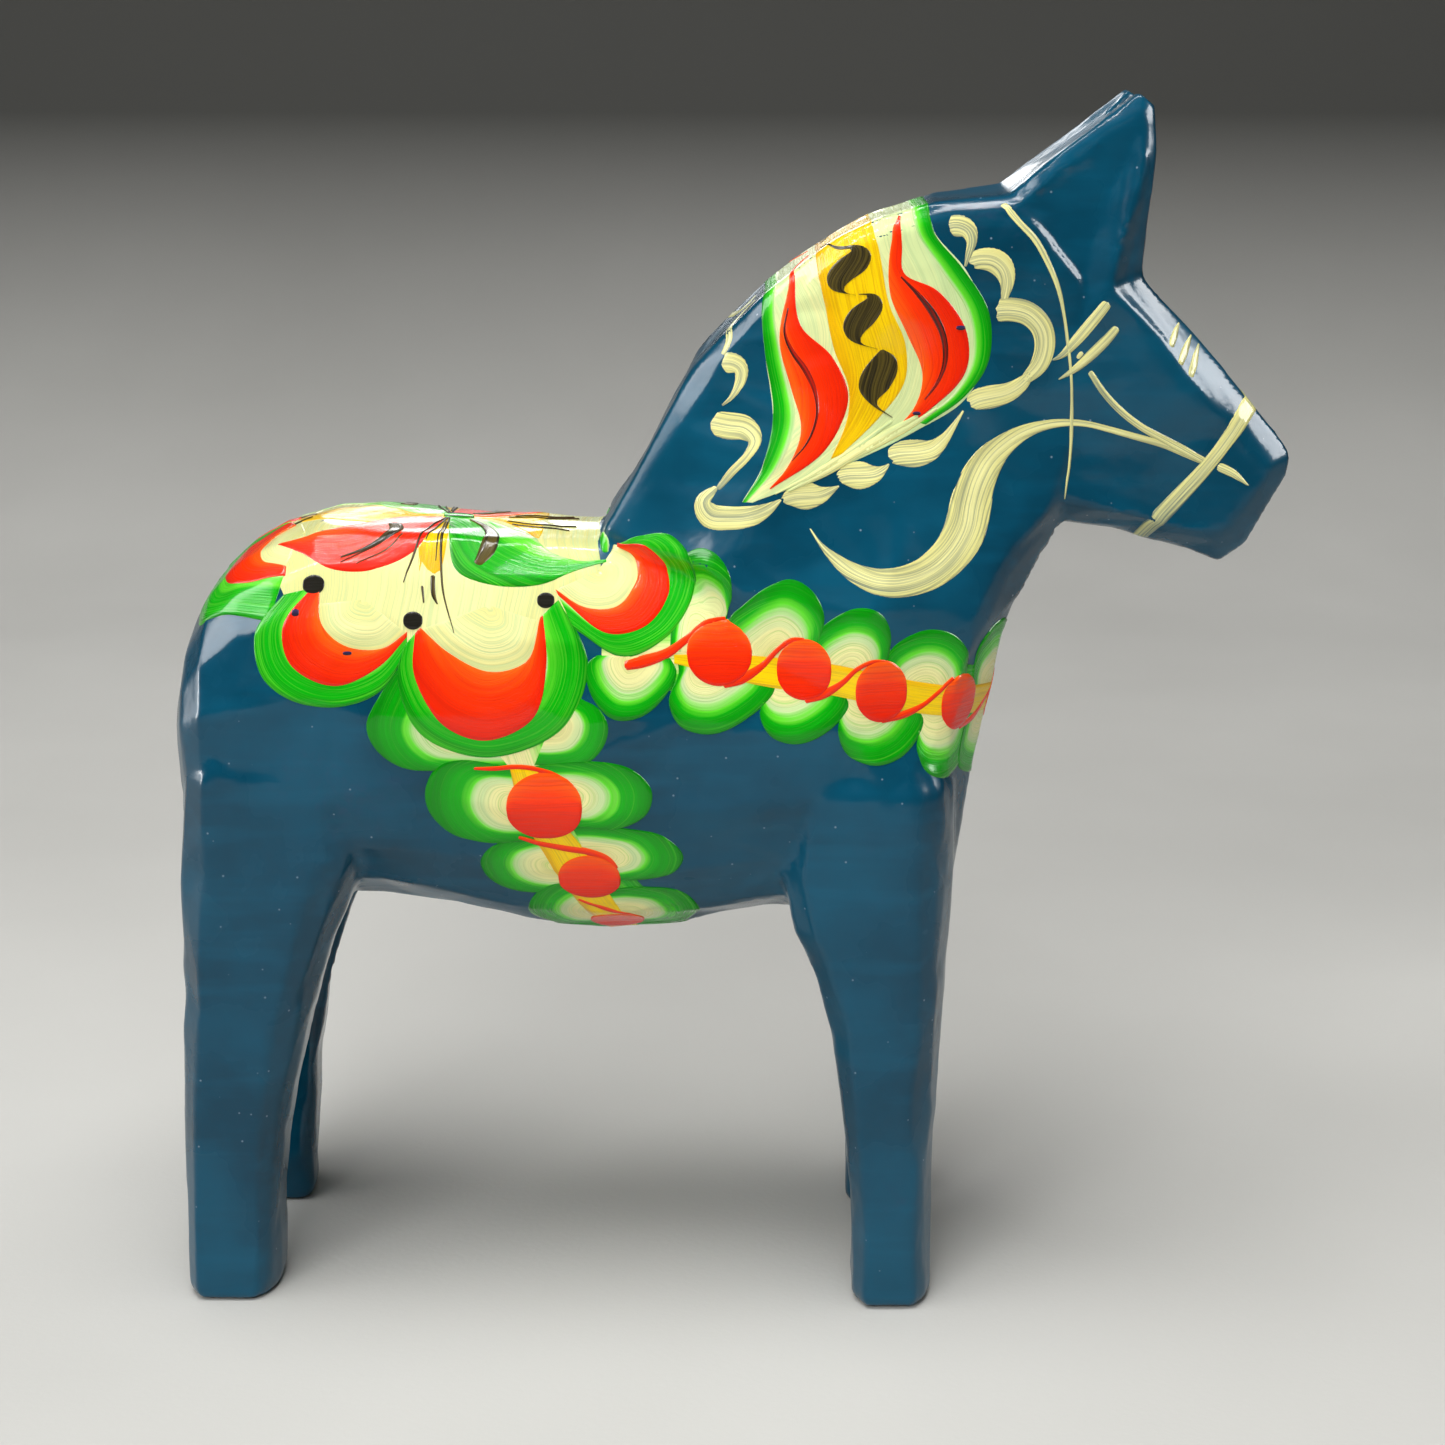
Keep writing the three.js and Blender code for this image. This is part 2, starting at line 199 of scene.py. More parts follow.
def carve(co, quads, edges):
    """Knife facets all over, larger on the flanks and smaller on the legs and head, then a few dents."""
    normals = normals_of(co, quads)
    for _ in range(KNIFE_CUTS):
        seed = rng.integers(len(co))
        x, y, z = co[seed]
        limb = z < LEG_TOP or x > HEAD_START or (x > WITHERS_X and z > WITHERS_Z)
        reach = rng.uniform(*(LIMB_REACH if limb else FLANK_REACH))
        depth = rng.uniform(*(LIMB_DEPTH if limb else FLANK_DEPTH))
        knife_cut(co, normals, seed, reach, depth, rng.normal(0, BLADE_TILT, 3))
    co = relaxed(co, edges, 1, 0.5)
    normals = normals_of(co, quads)
    for _ in range(DENTS):
        seed = rng.integers(len(co))
        size = rng.uniform(*DENT_SIZE)
        deep = rng.uniform(*DENT_DEPTH)
        gap = np.linalg.norm(co - co[seed], axis=1)
        near = gap < 2.6 * size
        co[near] -= (deep * np.exp(-((gap[near] / size) ** 2)))[:, None] * normals[near]
    wave = np.array([noise.noise(Vector(p) * WAVE_PITCH) for p in co.tolist()])
    co += normals * (wave * WAVE_HEIGHT)[:, None]
    co[:, 2] = np.maximum(co[:, 2], 0.0)
    return co


def mesh_object(name, co, faces, materials, material_index=None):
    mesh = bpy.data.meshes.new(name)
    mesh.from_pydata((co * MM).tolist(), [], faces.tolist())
    for m in materials:
        mesh.materials.append(m)
    if material_index is not None:
        mesh.polygons.foreach_set("material_index", material_index)
    mesh.polygons.foreach_set("use_smooth", np.ones(len(mesh.polygons), bool))
    mesh.update()
    obj = bpy.data.objects.new(name, mesh)
    bpy.context.scene.collection.objects.link(obj)
    return obj


# --- materials


def linear(red, green, blue):
    """An sRGB colour, 0 to 255, as a linear one."""
    out = []
    for c in (red, green, blue):
        c /= 255
        out.append(c / 12.92 if c <= 0.04045 else ((c + 0.055) / 1.055) ** 2.4)
    return (*out, 1.0)


BLUE = linear(1, 76, 102)
BLUE_DEEP = linear(0, 58, 80)
BLUE_WORN = linear(48, 66, 96)
CREAM = linear(224, 218, 136)
CREAM_LIGHT = linear(238, 234, 164)
MILK_GREEN = linear(200, 224, 160)
YELLOW = linear(248, 206, 8)
YELLOW_DEEP = linear(232, 172, 4)
ORANGE = linear(252, 54, 2)
ORANGE_DEEP = linear(232, 30, 1)
ORANGE_LIGHT = linear(255, 96, 16)
GREEN = linear(6, 172, 8)
GREEN_DEEP = linear(3, 132, 6)
GREEN_LIGHT = linear(100, 222, 46)
CHARCOAL = linear(30, 28, 22)
UMBER = linear(96, 82, 30)
CHIPPED = linear(62, 44, 92)
SEPIA = linear(66, 50, 26)


class Shader:
    """A node material with one Principled shader, and short calls that add nodes to it."""

    def __init__(self, name):
        self.material = bpy.data.materials.new(name)
        self.material.use_nodes = True
        self.tree = self.material.node_tree
        self.surface = self.tree.nodes["Principled BSDF"]

    def plug(self, socket, value):
        if isinstance(value, bpy.types.NodeSocket):
            self.tree.links.new(value, socket)
        else:
            socket.default_value = value

    def node(self, kind, sockets=(), **settings):
        made = self.tree.nodes.new(kind)
        for key, value in settings.items():
            setattr(made, key, value)
        for key, value in dict(sockets).items():
            self.plug(made.inputs[key], value)
        return made

    def math(self, operation, a, b=0.0):
        return self.node("ShaderNodeMath", {0: a, 1: b}, operation=operation).outputs[0]

    def remap(self, value, low, high, to_low=0.0, to_high=1.0):
        sockets = {0: value, 1: low, 2: high, 3: to_low, 4: to_high}
        return self.node("ShaderNodeMapRange", sockets).outputs[0]

    def mix(self, factor, a, b):
        sockets = {0: factor, 6: a, 7: b}
        return self.node("ShaderNodeMix", sockets, data_type="RGBA").outputs[2]

    def noise(self, vector, scale, stretch=(1, 1, 1), detail=2.0, rough=0.5):
        moved = self.node("ShaderNodeMapping", {"Vector": vector, "Scale": stretch}).outputs[0]
        sockets = {"Vector": moved, "Scale": scale, "Detail": detail, "Roughness": rough}
        return self.node("ShaderNodeTexNoise", sockets).outputs[0]

    def ramp(self, value, stops):
        made = self.node("ShaderNodeValToRGB", {0: value})
        line = made.color_ramp
        while len(line.elements) < len(stops):
            line.elements.new(0.5)
        for element, (position, colour) in zip(line.elements, stops):
            element.position = position
            element.color = colour
        return made.outputs[0]

    def bump(self, height, strength, distance, onto=None):
        sockets = {"Height": height, "Strength": strength, "Distance": distance}
        if onto is not None:
            sockets["Normal"] = onto
        return self.node("ShaderNodeBump", sockets).outputs[0]

    def finish(self, colour, roughness, normal, coat_normal, coat=0.5, coat_roughness=0.06):
        self.plug(self.surface.inputs["Base Color"], colour)
        self.plug(self.surface.inputs["Roughness"], roughness)
        self.plug(self.surface.inputs["Normal"], normal)
        self.plug(self.surface.inputs["Coat Normal"], coat_normal)
        self.surface.inputs["Specular IOR Level"].default_value = 0.1
        self.surface.inputs["Coat Weight"].default_value = coat
        self.surface.inputs["Coat Roughness"].default_value = coat_roughness
        return self.material


def base_coat():
    """Petrol-blue oil paint under varnish: mottled, scuffed, with pores and specks, and faint lighter brush
    streaks that are partly a painted highlight.
    """
    s = Shader("base_coat_blue")
    place = s.node("ShaderNodeTexCoord").outputs["Object"]
    mottle = s.noise(place, 45, detail=4)
    brush_streaks_and_highlight = s.noise(place, 240, (0.12, 1, 1), detail=3)
    colour = s.mix(s.remap(mottle, 0.35, 0.65), BLUE_DEEP, BLUE)
    # Lighter blue streaks along the brush direction: partly real streaks in the paint, partly a painted
    # highlight.
    colour = s.mix(s.remap(brush_streaks_and_highlight, 0.5, 0.75, 0, 0.3), colour, linear(10, 96, 126))
    patch = s.remap(s.noise(place, 30, detail=5, rough=0.65), 0.6, 0.74, 0, 0.4)
    grit = s.remap(s.noise(place, 700, detail=3), 0.45, 0.65)
    colour = s.mix(s.math("MULTIPLY", patch, grit), colour, BLUE_WORN)
    speck = s.node("ShaderNodeTexVoronoi", {"Vector": place, "Scale": 300}).outputs["Distance"]
    colour = s.mix(s.remap(speck, 0.035, 0.065, 0.7, 0.0), colour, linear(130, 150, 166))
    pores = s.noise(place, 900, (1, 0.3, 0.3), detail=3)
    orange_peel = s.noise(place, 210, detail=2)
    bristles = s.noise(place, 950, (0.1, 1, 0.55), detail=3)
    varnish = s.bump(bristles, 0.22, 0.0001, s.bump(orange_peel, 0.24, 0.0004))
    normal = s.bump(pores, 0.06, 0.0001, varnish)
    roughness = s.remap(mottle, 0.3, 0.7, 0.22, 0.34)
    return s.finish(colour, roughness, normal, varnish, coat_roughness=0.15)


def brush_paint(name, stops, under, thin=0.12, wander=0.16, hair=0.6, edge=0.12):
    """Oil paint laid on with a brush. stops: the colours that the brush is loaded with across its width.
    Bristle streaks run along the stroke, and where the paint is thin or dry the colour under it shows."""
    s = Shader(name)
    brush = s.node("ShaderNodeAttribute", attribute_name="brush").outputs["Vector"]
    place = s.node("ShaderNodeAttribute", attribute_name="place").outputs["Vector"]
    split = s.node("ShaderNodeSeparateXYZ", {0: place})
    across, dry = split.outputs[1], split.outputs[2]
    broad = s.remap(s.noise(brush, 1.0, BROAD_STREAKS, detail=2), 0.3, 0.7)
    fine = s.remap(s.noise(brush, 1.0, FINE_STREAKS, detail=3, rough=0.6), 0.32, 0.68)
    shifted = s.math("ADD", across, s.math("MULTIPLY", s.math("SUBTRACT", broad, 0.5), wander))
    loaded = s.ramp(shifted, stops)
    darker = s.mix(1.0, loaded, (0.62, 0.62, 0.6, 1))
    darker.node.blend_type = "MULTIPLY"
    colour = s.mix(s.remap(fine, 0.62, 0.2, 0.0, hair), loaded, darker)
    to_rim = s.math("POWER", s.math("ABSOLUTE", s.remap(across, 0, 1, -1, 1)), 6.0)
    bare = s.math("ADD", s.math("MULTIPLY", to_rim, edge), dry)
    bare = s.math("ADD", bare, thin)
    bare = s.math("SUBTRACT", bare, s.math("MULTIPLY", fine, 0.7))
    bare = s.math("SUBTRACT", bare, s.math("MULTIPLY", broad, 0.2))
    shows = s.remap(bare, -0.35, 0.35, 0.0, 0.85)
    colour = s.mix(shows, colour, under)
    ridges = s.math("ADD", fine, s.math("MULTIPLY", broad, 0.6))
    normal = s.bump(ridges, 0.4, 0.00012)
    varnish = s.bump(ridges, 0.09, 0.00012)
    roughness = s.remap(fine, 0, 1, 0.34, 0.22)
    return s.finish(colour, roughness, normal, varnish)


PAINTS = {
    "cream": brush_paint("paint_cream", [(0, CREAM), (0.5, CREAM_LIGHT), (1, CREAM)], BLUE, 0.16, 0.1, 0.35),
    "field": brush_paint("paint_cream_field", [(0, CREAM), (0.6, CREAM_LIGHT), (1, CREAM)], MILK_GREEN,
                         0.2, 0.14, 0.55),
    "yellow": brush_paint("paint_yellow", [(0, YELLOW_DEEP), (0.25, YELLOW), (1, YELLOW)], YELLOW_DEEP,
                          0.1, 0.1),
    "orange": brush_paint("paint_orange", [(0, ORANGE_LIGHT), (0.35, ORANGE), (1, ORANGE_DEEP)],
                          ORANGE_DEEP, 0.05, hair=0.3),
    "green": brush_paint("paint_green", [(0, MILK_GREEN), (0.12, GREEN_LIGHT), (0.4, GREEN), (0.75, GREEN),
                                         (1, GREEN_DEEP)], GREEN_LIGHT, 0.12, 0.3, 0.4),
    "lobe": brush_paint("paint_green_white", [(0, CREAM), (0.42, CREAM_LIGHT), (0.58, MILK_GREEN),
                                              (0.68, GREEN_LIGHT), (0.78, GREEN), (1, GREEN_DEEP)],
                        GREEN_LIGHT, -0.02, 0.1, 0.4, 0.0),
    "lobe_wide": brush_paint("paint_green_white_wide", [(0, CREAM), (0.38, CREAM_LIGHT), (0.52, MILK_GREEN),
                                                        (0.62, GREEN_LIGHT), (0.7, GREEN), (1, GREEN_DEEP)],
                             GREEN_LIGHT, -0.02, 0.1, 0.4, 0.0),
    "strip": brush_paint("paint_green_strip", [(0, GREEN_DEEP), (0.45, GREEN), (0.72, GREEN_LIGHT),
                                               (0.9, MILK_GREEN), (1, CREAM_LIGHT)], GREEN_LIGHT, 0.0, 0.1,
                                               0.4),
    "ground": brush_paint("paint_band_ground", [(0, GREEN_DEEP), (0.14, GREEN), (0.24, GREEN_LIGHT),
                                                (0.4, CREAM_LIGHT), (0.6, CREAM_LIGHT), (0.76, GREEN_LIGHT),
                                                (0.86, GREEN), (1, GREEN_DEEP)], GREEN_LIGHT, 0.0, 0.1, 0.4),
    "milk": brush_paint("paint_milk", [(0, MILK_GREEN), (0.4, CREAM_LIGHT), (1, MILK_GREEN)], MILK_GREEN,
                        0.2, 0.2, 0.4),
    "charcoal": brush_paint("paint_charcoal", [(0, CHARCOAL), (1, CHARCOAL)], UMBER, 0.42, hair=0.3),
    "umber": brush_paint("paint_umber", [(0, CHARCOAL), (1, CHARCOAL)], ORANGE_DEEP, 0.16, hair=0.3),
    "ink": brush_paint("paint_ink", [(0, CHARCOAL), (1, CHARCOAL)], UMBER, -0.3, hair=0.2),
    "sepia": brush_paint("paint_sepia", [(0, SEPIA), (1, CHARCOAL)], UMBER, 0.3, hair=0.3),
    "chipped": brush_paint("paint_chipped", [(0, CHIPPED), (1, CHARCOAL)], CHIPPED, 0.0),
}
PAINT_NAMES = list(PAINTS)


# --- the body as a paint ground

boards = boards_as_one()
body_co, body_quads = remeshed(boards, VOXEL)
body_edges = edges_of(body_quads)
body_co = smoothed(body_co, body_edges, 5)
board_faces = [list(p.vertices) for p in boards.polygons]
board_tree = BVHTree.FromPolygons([v.co for v in boards.vertices], board_faces)
# The sawn edges of the head and the mane stay crisp, and the seam of the cheek is worn soft.
on_head = np.clip((body_co[:, 0] - 40) / 8, 0, 1) * np.clip((body_co[:, 2] - 118) / 8, 0, 1)
on_mane = np.clip((body_co[:, 2] - 136) / 10, 0, 1)
crisp = np.maximum(on_head, 0.6 * on_mane)
body_co = pulled_back(body_co, board_tree, SHARPNESS + EXTRA_SHARPNESS * crisp)
body_co = relaxed(body_co, body_edges, 1, 0.4)
at_seam = np.clip(1.6 - np.abs(body_co[:, 0] - CHEEK_SEAM_X) / 6, 0, 1)
at_seam = at_seam * np.clip(1.6 - np.abs(body_co[:, 2] - CHEEK_SEAM_Z) / 12, 0, 1)
at_seam *= np.clip(np.abs(body_co[:, 1]) / 3 - 2.4, 0, 1)
body_co += (relaxed(body_co, body_edges, 14, 0.5) - body_co) * at_seam[:, None]
body_co = carve(body_co, body_quads, body_edges)
body_normals = normals_of(body_co, body_quads)
body_tris = np.vstack([body_quads[:, [0, 1, 2]], body_quads[:, [0, 2, 3]]])
tree = BVHTree.FromPolygons(body_co.tolist(), body_tris.tolist(), all_triangles=True)

body = mesh_object("painted_body", body_co, body_quads, [base_coat()])
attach(body, "root")
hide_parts(*BOARDS)


def snap(points):
    """The nearest body points, with smooth normals."""
    hits = [tree.find_nearest(p) for p in points.tolist()]
    spots = np.array([h[0] for h in hits])
    corners = body_tris[[h[2] for h in hits]]
    a, b, c = (body_co[corners[:, k]] for k in range(3))
    ab, ac, ap = b - a, c - a, spots - a
    d00, d01, d11 = (ab * ab).sum(1), (ab * ac).sum(1), (ac * ac).sum(1)
    d20, d21 = (ap * ab).sum(1), (ap * ac).sum(1)
    area = np.maximum(d00 * d11 - d01 * d01, 1e-12)
    v = ((d11 * d20 - d01 * d21) / area)[:, None]
    w = ((d00 * d21 - d01 * d20) / area)[:, None]
    mixed = (1 - v - w) * body_normals[corners[:, 0]] + v * body_normals[corners[:, 1]]
    return spots, unit(mixed + w * body_normals[corners[:, 2]])


def cast(start, direction):
    hit = tree.ray_cast(Vector(start), Vector(direction))[0]
    return None if hit is None else tuple(hit)


def side(x, z):
    """The point of the right side at that X and Z."""
    return cast((x, -90, z), (0, 1, 0)) or tuple(tree.find_nearest((x, -4, z))[0])


def top(x, y):
    """The point of the upper side at that X and Y."""
    return cast((x, y, 260), (0, 0, -1))


def below(x, y):
    """The point of the belly at that X and Y."""
    return cast((x, y, 20), (0, 0, 1))


def front(y, z):
    """The point of the chest at that Y and Z."""
    return cast((150, y, z), (-1, 0, 0))


# --- brush strokes


def flow(knots, spacing):
    """A smooth line through the knots at that spacing. Columns past the third are carried along."""
    knots = np.asarray(knots, float)
    if len(knots) > 2:
        padded = np.vstack([2 * knots[0] - knots[1], knots, 2 * knots[-1] - knots[-2]])
        step = np.maximum(np.linalg.norm(np.diff(padded[:, :3], axis=0), axis=1), 1e-6) ** 0.5
        t = np.concatenate([[0], np.cumsum(step)])
        pieces = []
        for k in range(1, len(knots)):
            p, q = padded[k - 1:k + 3], t[k - 1:k + 3]
            at = np.linspace(q[1], q[2], 14, endpoint=k == len(knots) - 1)[:, None]
            a = [(q[j + 1] - at) / (q[j + 1] - q[j]) * p[j] + (at - q[j]) / (q[j + 1] - q[j]) * p[j + 1]
                 for j in range(3)]
            b = [(q[j + 2] - at) / (q[j + 2] - q[j]) * a[j] + (at - q[j]) / (q[j + 2] - q[j]) * a[j + 1]
                 for j in range(2)]
            pieces.append((q[2] - at) / (q[2] - q[1]) * b[0] + (at - q[1]) / (q[2] - q[1]) * b[1])
        knots = np.vstack(pieces)
    walked = np.concatenate([[0], np.cumsum(np.linalg.norm(np.diff(knots[:, :3], axis=0), axis=1))])
    count = max(5, int(walked[-1] / spacing) + 2)
    at = np.linspace(0, walked[-1], count)
    return np.column_stack([np.interp(at, walked, knots[:, k]) for k in range(knots.shape[1])])


def settled(line):
    """The line laid on the body and spaced evenly again, so that it turns edges without a gap."""
    for _ in range(3):
        line = line.copy()
        line[:, :3] = snap(line[:, :3])[0]
        walked = np.concatenate([[0], np.cumsum(np.linalg.norm(np.diff(line[:, :3], axis=0), axis=1))])
        at = np.linspace(0, walked[-1], len(line))
        line = np.column_stack([np.interp(at, walked, line[:, k]) for k in range(line.shape[1])])
    return line


def between(rail_a, rail_b, share):
    """The rail that lies that share of the way from rail_a to rail_b."""
    a, b = resample(flow(rail_a, GRID), 40), resample(flow(rail_b, GRID), 40)
    return (a + (b - a) * share).tolist()


def around(pivot, outline):
    """Rails for a film that turns about a pivot: small and slightly enlarged copies of the outline."""
    pivot, outline = np.array(pivot), np.array(outline, float)
    return [(pivot + (outline - pivot) * share).tolist() for share in (HEART_CORE, HEART_REACH)]


def resample(line, count):
    at = np.linspace(0, len(line) - 1, count)
    return np.column_stack([np.interp(at, np.arange(len(line)), line[:, k]) for k in range(line.shape[1])])


class Painting:
    """One piece made of closed paint films."""

    def __init__(self, name, side_of_body=RIGHT):
        self.name = name
        self.hand = side_of_body
        self.verts, self.faces, self.paint, self.brush, self.place = [], [], [], [], []
        self.count = 0
        self.lobes = 0

    def turned(self, points):
        points = np.array(points, float)
        if self.hand == LEFT:
            points[:, 1] *= -1
        return points

    def patch(self, rail_a, rail_b, paint, layer=0, dry=(0, 0), rag=(0, 0)):
        """A film between two rails. The brush runs along the rails, and rail_a is where its ramp starts."""
        a = settled(flow(self.turned(rail_a), GRID))
        b = settled(flow(self.turned(rail_b), GRID))
        rows = max(len(a), len(b))
        self.film(resample(a, rows), resample(b, rows), paint, layer, dry, rag, 0.0)

    def stroke(self, knots, paint, layer=0, dry=(0, 0), rag=(0, 0)):
        """A film along a line of knots, each a surface point and a width."""
        knots = self.turned([[*point, width] for point, width in knots])
        line = settled(flow(knots, min(GRID, max(0.3, knots[:, 3].max() * 0.5))))
        spots, normals = snap(line[:, :3])
        across = unit(np.cross(normals, np.gradient(spots, axis=0))) * self.hand
        half = line[:, 3:] / 2
        self.film(spots - across * half, spots + across * half, paint, layer, dry, rag, STROKE_ROUNDING)

    def film(self, a, b, paint, layer, dry, rag, round_ends):
        wide = np.linalg.norm(b - a, axis=1)
        long = max(np.linalg.norm(np.diff((a + b) / 2, axis=0), axis=1).sum(), 0.5)
        widest = max(wide.max(), 0.05)
        inner = max(3, int(widest / GRID) + 1)
        rim = min(RIM_SHARE, RIM_WIDTH / widest)
        v = np.concatenate([[0], np.linspace(rim, 1 - rim, inner), [1]])
        rows = len(a)
        rim_row = min(END_SHARE, RIM_WIDTH / long)
        u = np.concatenate([[0], np.linspace(rim_row, 1 - rim_row, rows), [1]])
        cap = 1 - np.sqrt(np.clip(1 - (2 * v - 1) ** 2, 0, 1))
        start = (round_ends * cap * wide[0] / 2 + rag[0] * rng.random(len(v))) / long
        end = (round_ends * cap * wide[-1] / 2 + rag[1] * rng.random(len(v))) / long
        along = start[None] + (1 - start - end)[None] * u[:, None]
        index = np.clip(along, 0, 1) * (rows - 1)
        low = np.minimum(index.astype(int), rows - 2)
        part = (index - low)[..., None]
        rail_a = a[low] * (1 - part) + a[low + 1] * part
        rail_b = b[low] * (1 - part) + b[low + 1] * part
        flat = rail_a + (rail_b - rail_a) * v[None, :, None]
        n, m = flat.shape[:2]
        for _ in range(2):
            flat = snap(flat.reshape(-1, 3))[0].reshape(n, m, 3)
            for column in range(1, m - 1):
                inside = flat[1:-1, column]
                length = np.concatenate([[0], np.cumsum(np.linalg.norm(np.diff(inside, axis=0), axis=1))])
                at = np.linspace(0, length[-1], n - 2)
                flat[1:-1, column] = np.column_stack([np.interp(at, length, inside[:, k]) for k in range(3)])
        spots, normals = snap(flat.reshape(-1, 3))
        height = np.full((n, m), FILM * (layer + 1))
        height[0], height[-1], height[:, 0], height[:, -1] = (-RIM_DIP,) * 4
        upper = spots + normals * height.reshape(-1, 1)
        lower = spots - normals * UNDERSIDE
        seed = rng.uniform(0, 90)
        walked = along * long
        gap = (v[None] - 0.5) * np.maximum(np.linalg.norm(rail_b - rail_a, axis=2), 0.2)
        brush = np.stack([walked, gap, np.full((n, m), seed)], 2).reshape(-1, 3)
        near_start = np.clip(1 - along * DRY_FADE, 0, 1)
        near_end = np.clip(along * DRY_FADE - (DRY_FADE - 1), 0, 1)
        dryness = dry[0] * near_start + dry[1] * near_end
        place = np.stack([along, np.broadcast_to(v, (n, m)), dryness], 2).reshape(-1, 3)
        ids = np.arange(n * m).reshape(n, m)
        quads = np.stack([ids[:-1, :-1], ids[1:, :-1], ids[1:, 1:], ids[:-1, 1:]], 2).reshape(-1, 4)
        middle = quads[len(quads) // 2]
        facing = np.cross(upper[middle[2]] - upper[middle[0]], upper[middle[3]] - upper[middle[1]])
        if facing @ normals[middle[0]] < 0:
            quads = quads[:, ::-1]
        loop = np.concatenate([ids[0, :-1], ids[:-1, -1], ids[-1, :0:-1], ids[:0:-1, 0]])
        walls = np.stack([loop, loop + n * m, np.roll(loop, -1) + n * m, np.roll(loop, -1)], 1)
        if facing @ normals[middle[0]] < 0:
            walls = walls[:, ::-1]
        faces = np.vstack([quads, quads[:, ::-1] + n * m, walls[:, ::-1]])
        self.verts += [upper, lower]
        self.faces.append(faces + self.count)
        self.paint.append(np.full(len(faces), PAINT_NAMES.index(paint)))
        self.brush += [brush, brush]
        self.place += [place, place]
        self.count += 2 * n * m

    def lobe(self, base, outline, paint="lobe"):
        """A C-shaped stroke of a brush loaded with green at its tip and white at its heel. It turns about
        the middle of its base, and each lobe lies a little over the one before."""
        self.lobes += 1
        start, end = np.array(base[0]), np.array(base[-1])
        core = [start + (end - start) * share for share in LOBE_CORE]
        self.patch(core, [base[0], *outline, base[-1]], paint, 1 + LOBE_LIFT * self.lobes)

    def disc(self, centre, wide, tall, paint="orange", layer=5.6):
        """A round dab, wide along the body and tall across it."""
        centre = self.turned([centre])
        spot, normal = snap(centre)
        upward = unit(np.cross(normal[0], np.cross((0.0, 0.0, 1.0), normal[0])))
        if abs(normal[0][2]) > 0.9:
            upward = unit(np.cross(normal[0], (1.0, 0.0, 0.0)))
        sideways = np.cross(upward, normal[0])
        angles = np.linspace(0.15, math.pi - 0.15, 21)[:, None]
        rails = [spot[0] + sideways * np.cos(angles) * wide + sign * upward * np.sin(angles) * tall
                 for sign in (1, -1)]
        self.film(*rails, paint, layer, (0, 0), (0, 0), DISC_ROUNDING)

    def done(self):
        co = np.vstack(self.verts)
        faces = np.vstack(self.faces)
        used, slots = np.unique(np.concatenate(self.paint), return_inverse=True)
        materials = [PAINTS[PAINT_NAMES[k]] for k in used]
        obj = mesh_object(self.name, co, faces, materials, slots.astype(np.int32))
        for label, rows in (("brush", self.brush), ("place", self.place)):
            data = obj.data.attributes.new(label, "FLOAT_VECTOR", "POINT")
            data.data.foreach_set("vector", np.vstack(rows).astype(np.float32).ravel())
        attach(obj, "root")
        return obj


def over(*points):
    """Points of one side, in X and Z."""
    return [side(x, z) for x, z in points]


def knots_on(where, *rows):
    """Knots of a stroke. where: side, top, below or front. rows: its two coordinates and the width."""
    return [(where(a, b), width) for a, b, width in rows]


def run(*rows):
    """Knots of one side: X, Z and width."""
    return knots_on(side, *rows)


def both_sides(name, draw):
    for hand, label in ((RIGHT, "right"), (LEFT, "left")):
        piece = Painting(f"{name}_{label}", hand)
        draw(piece)
        piece.done()


# --- chest band


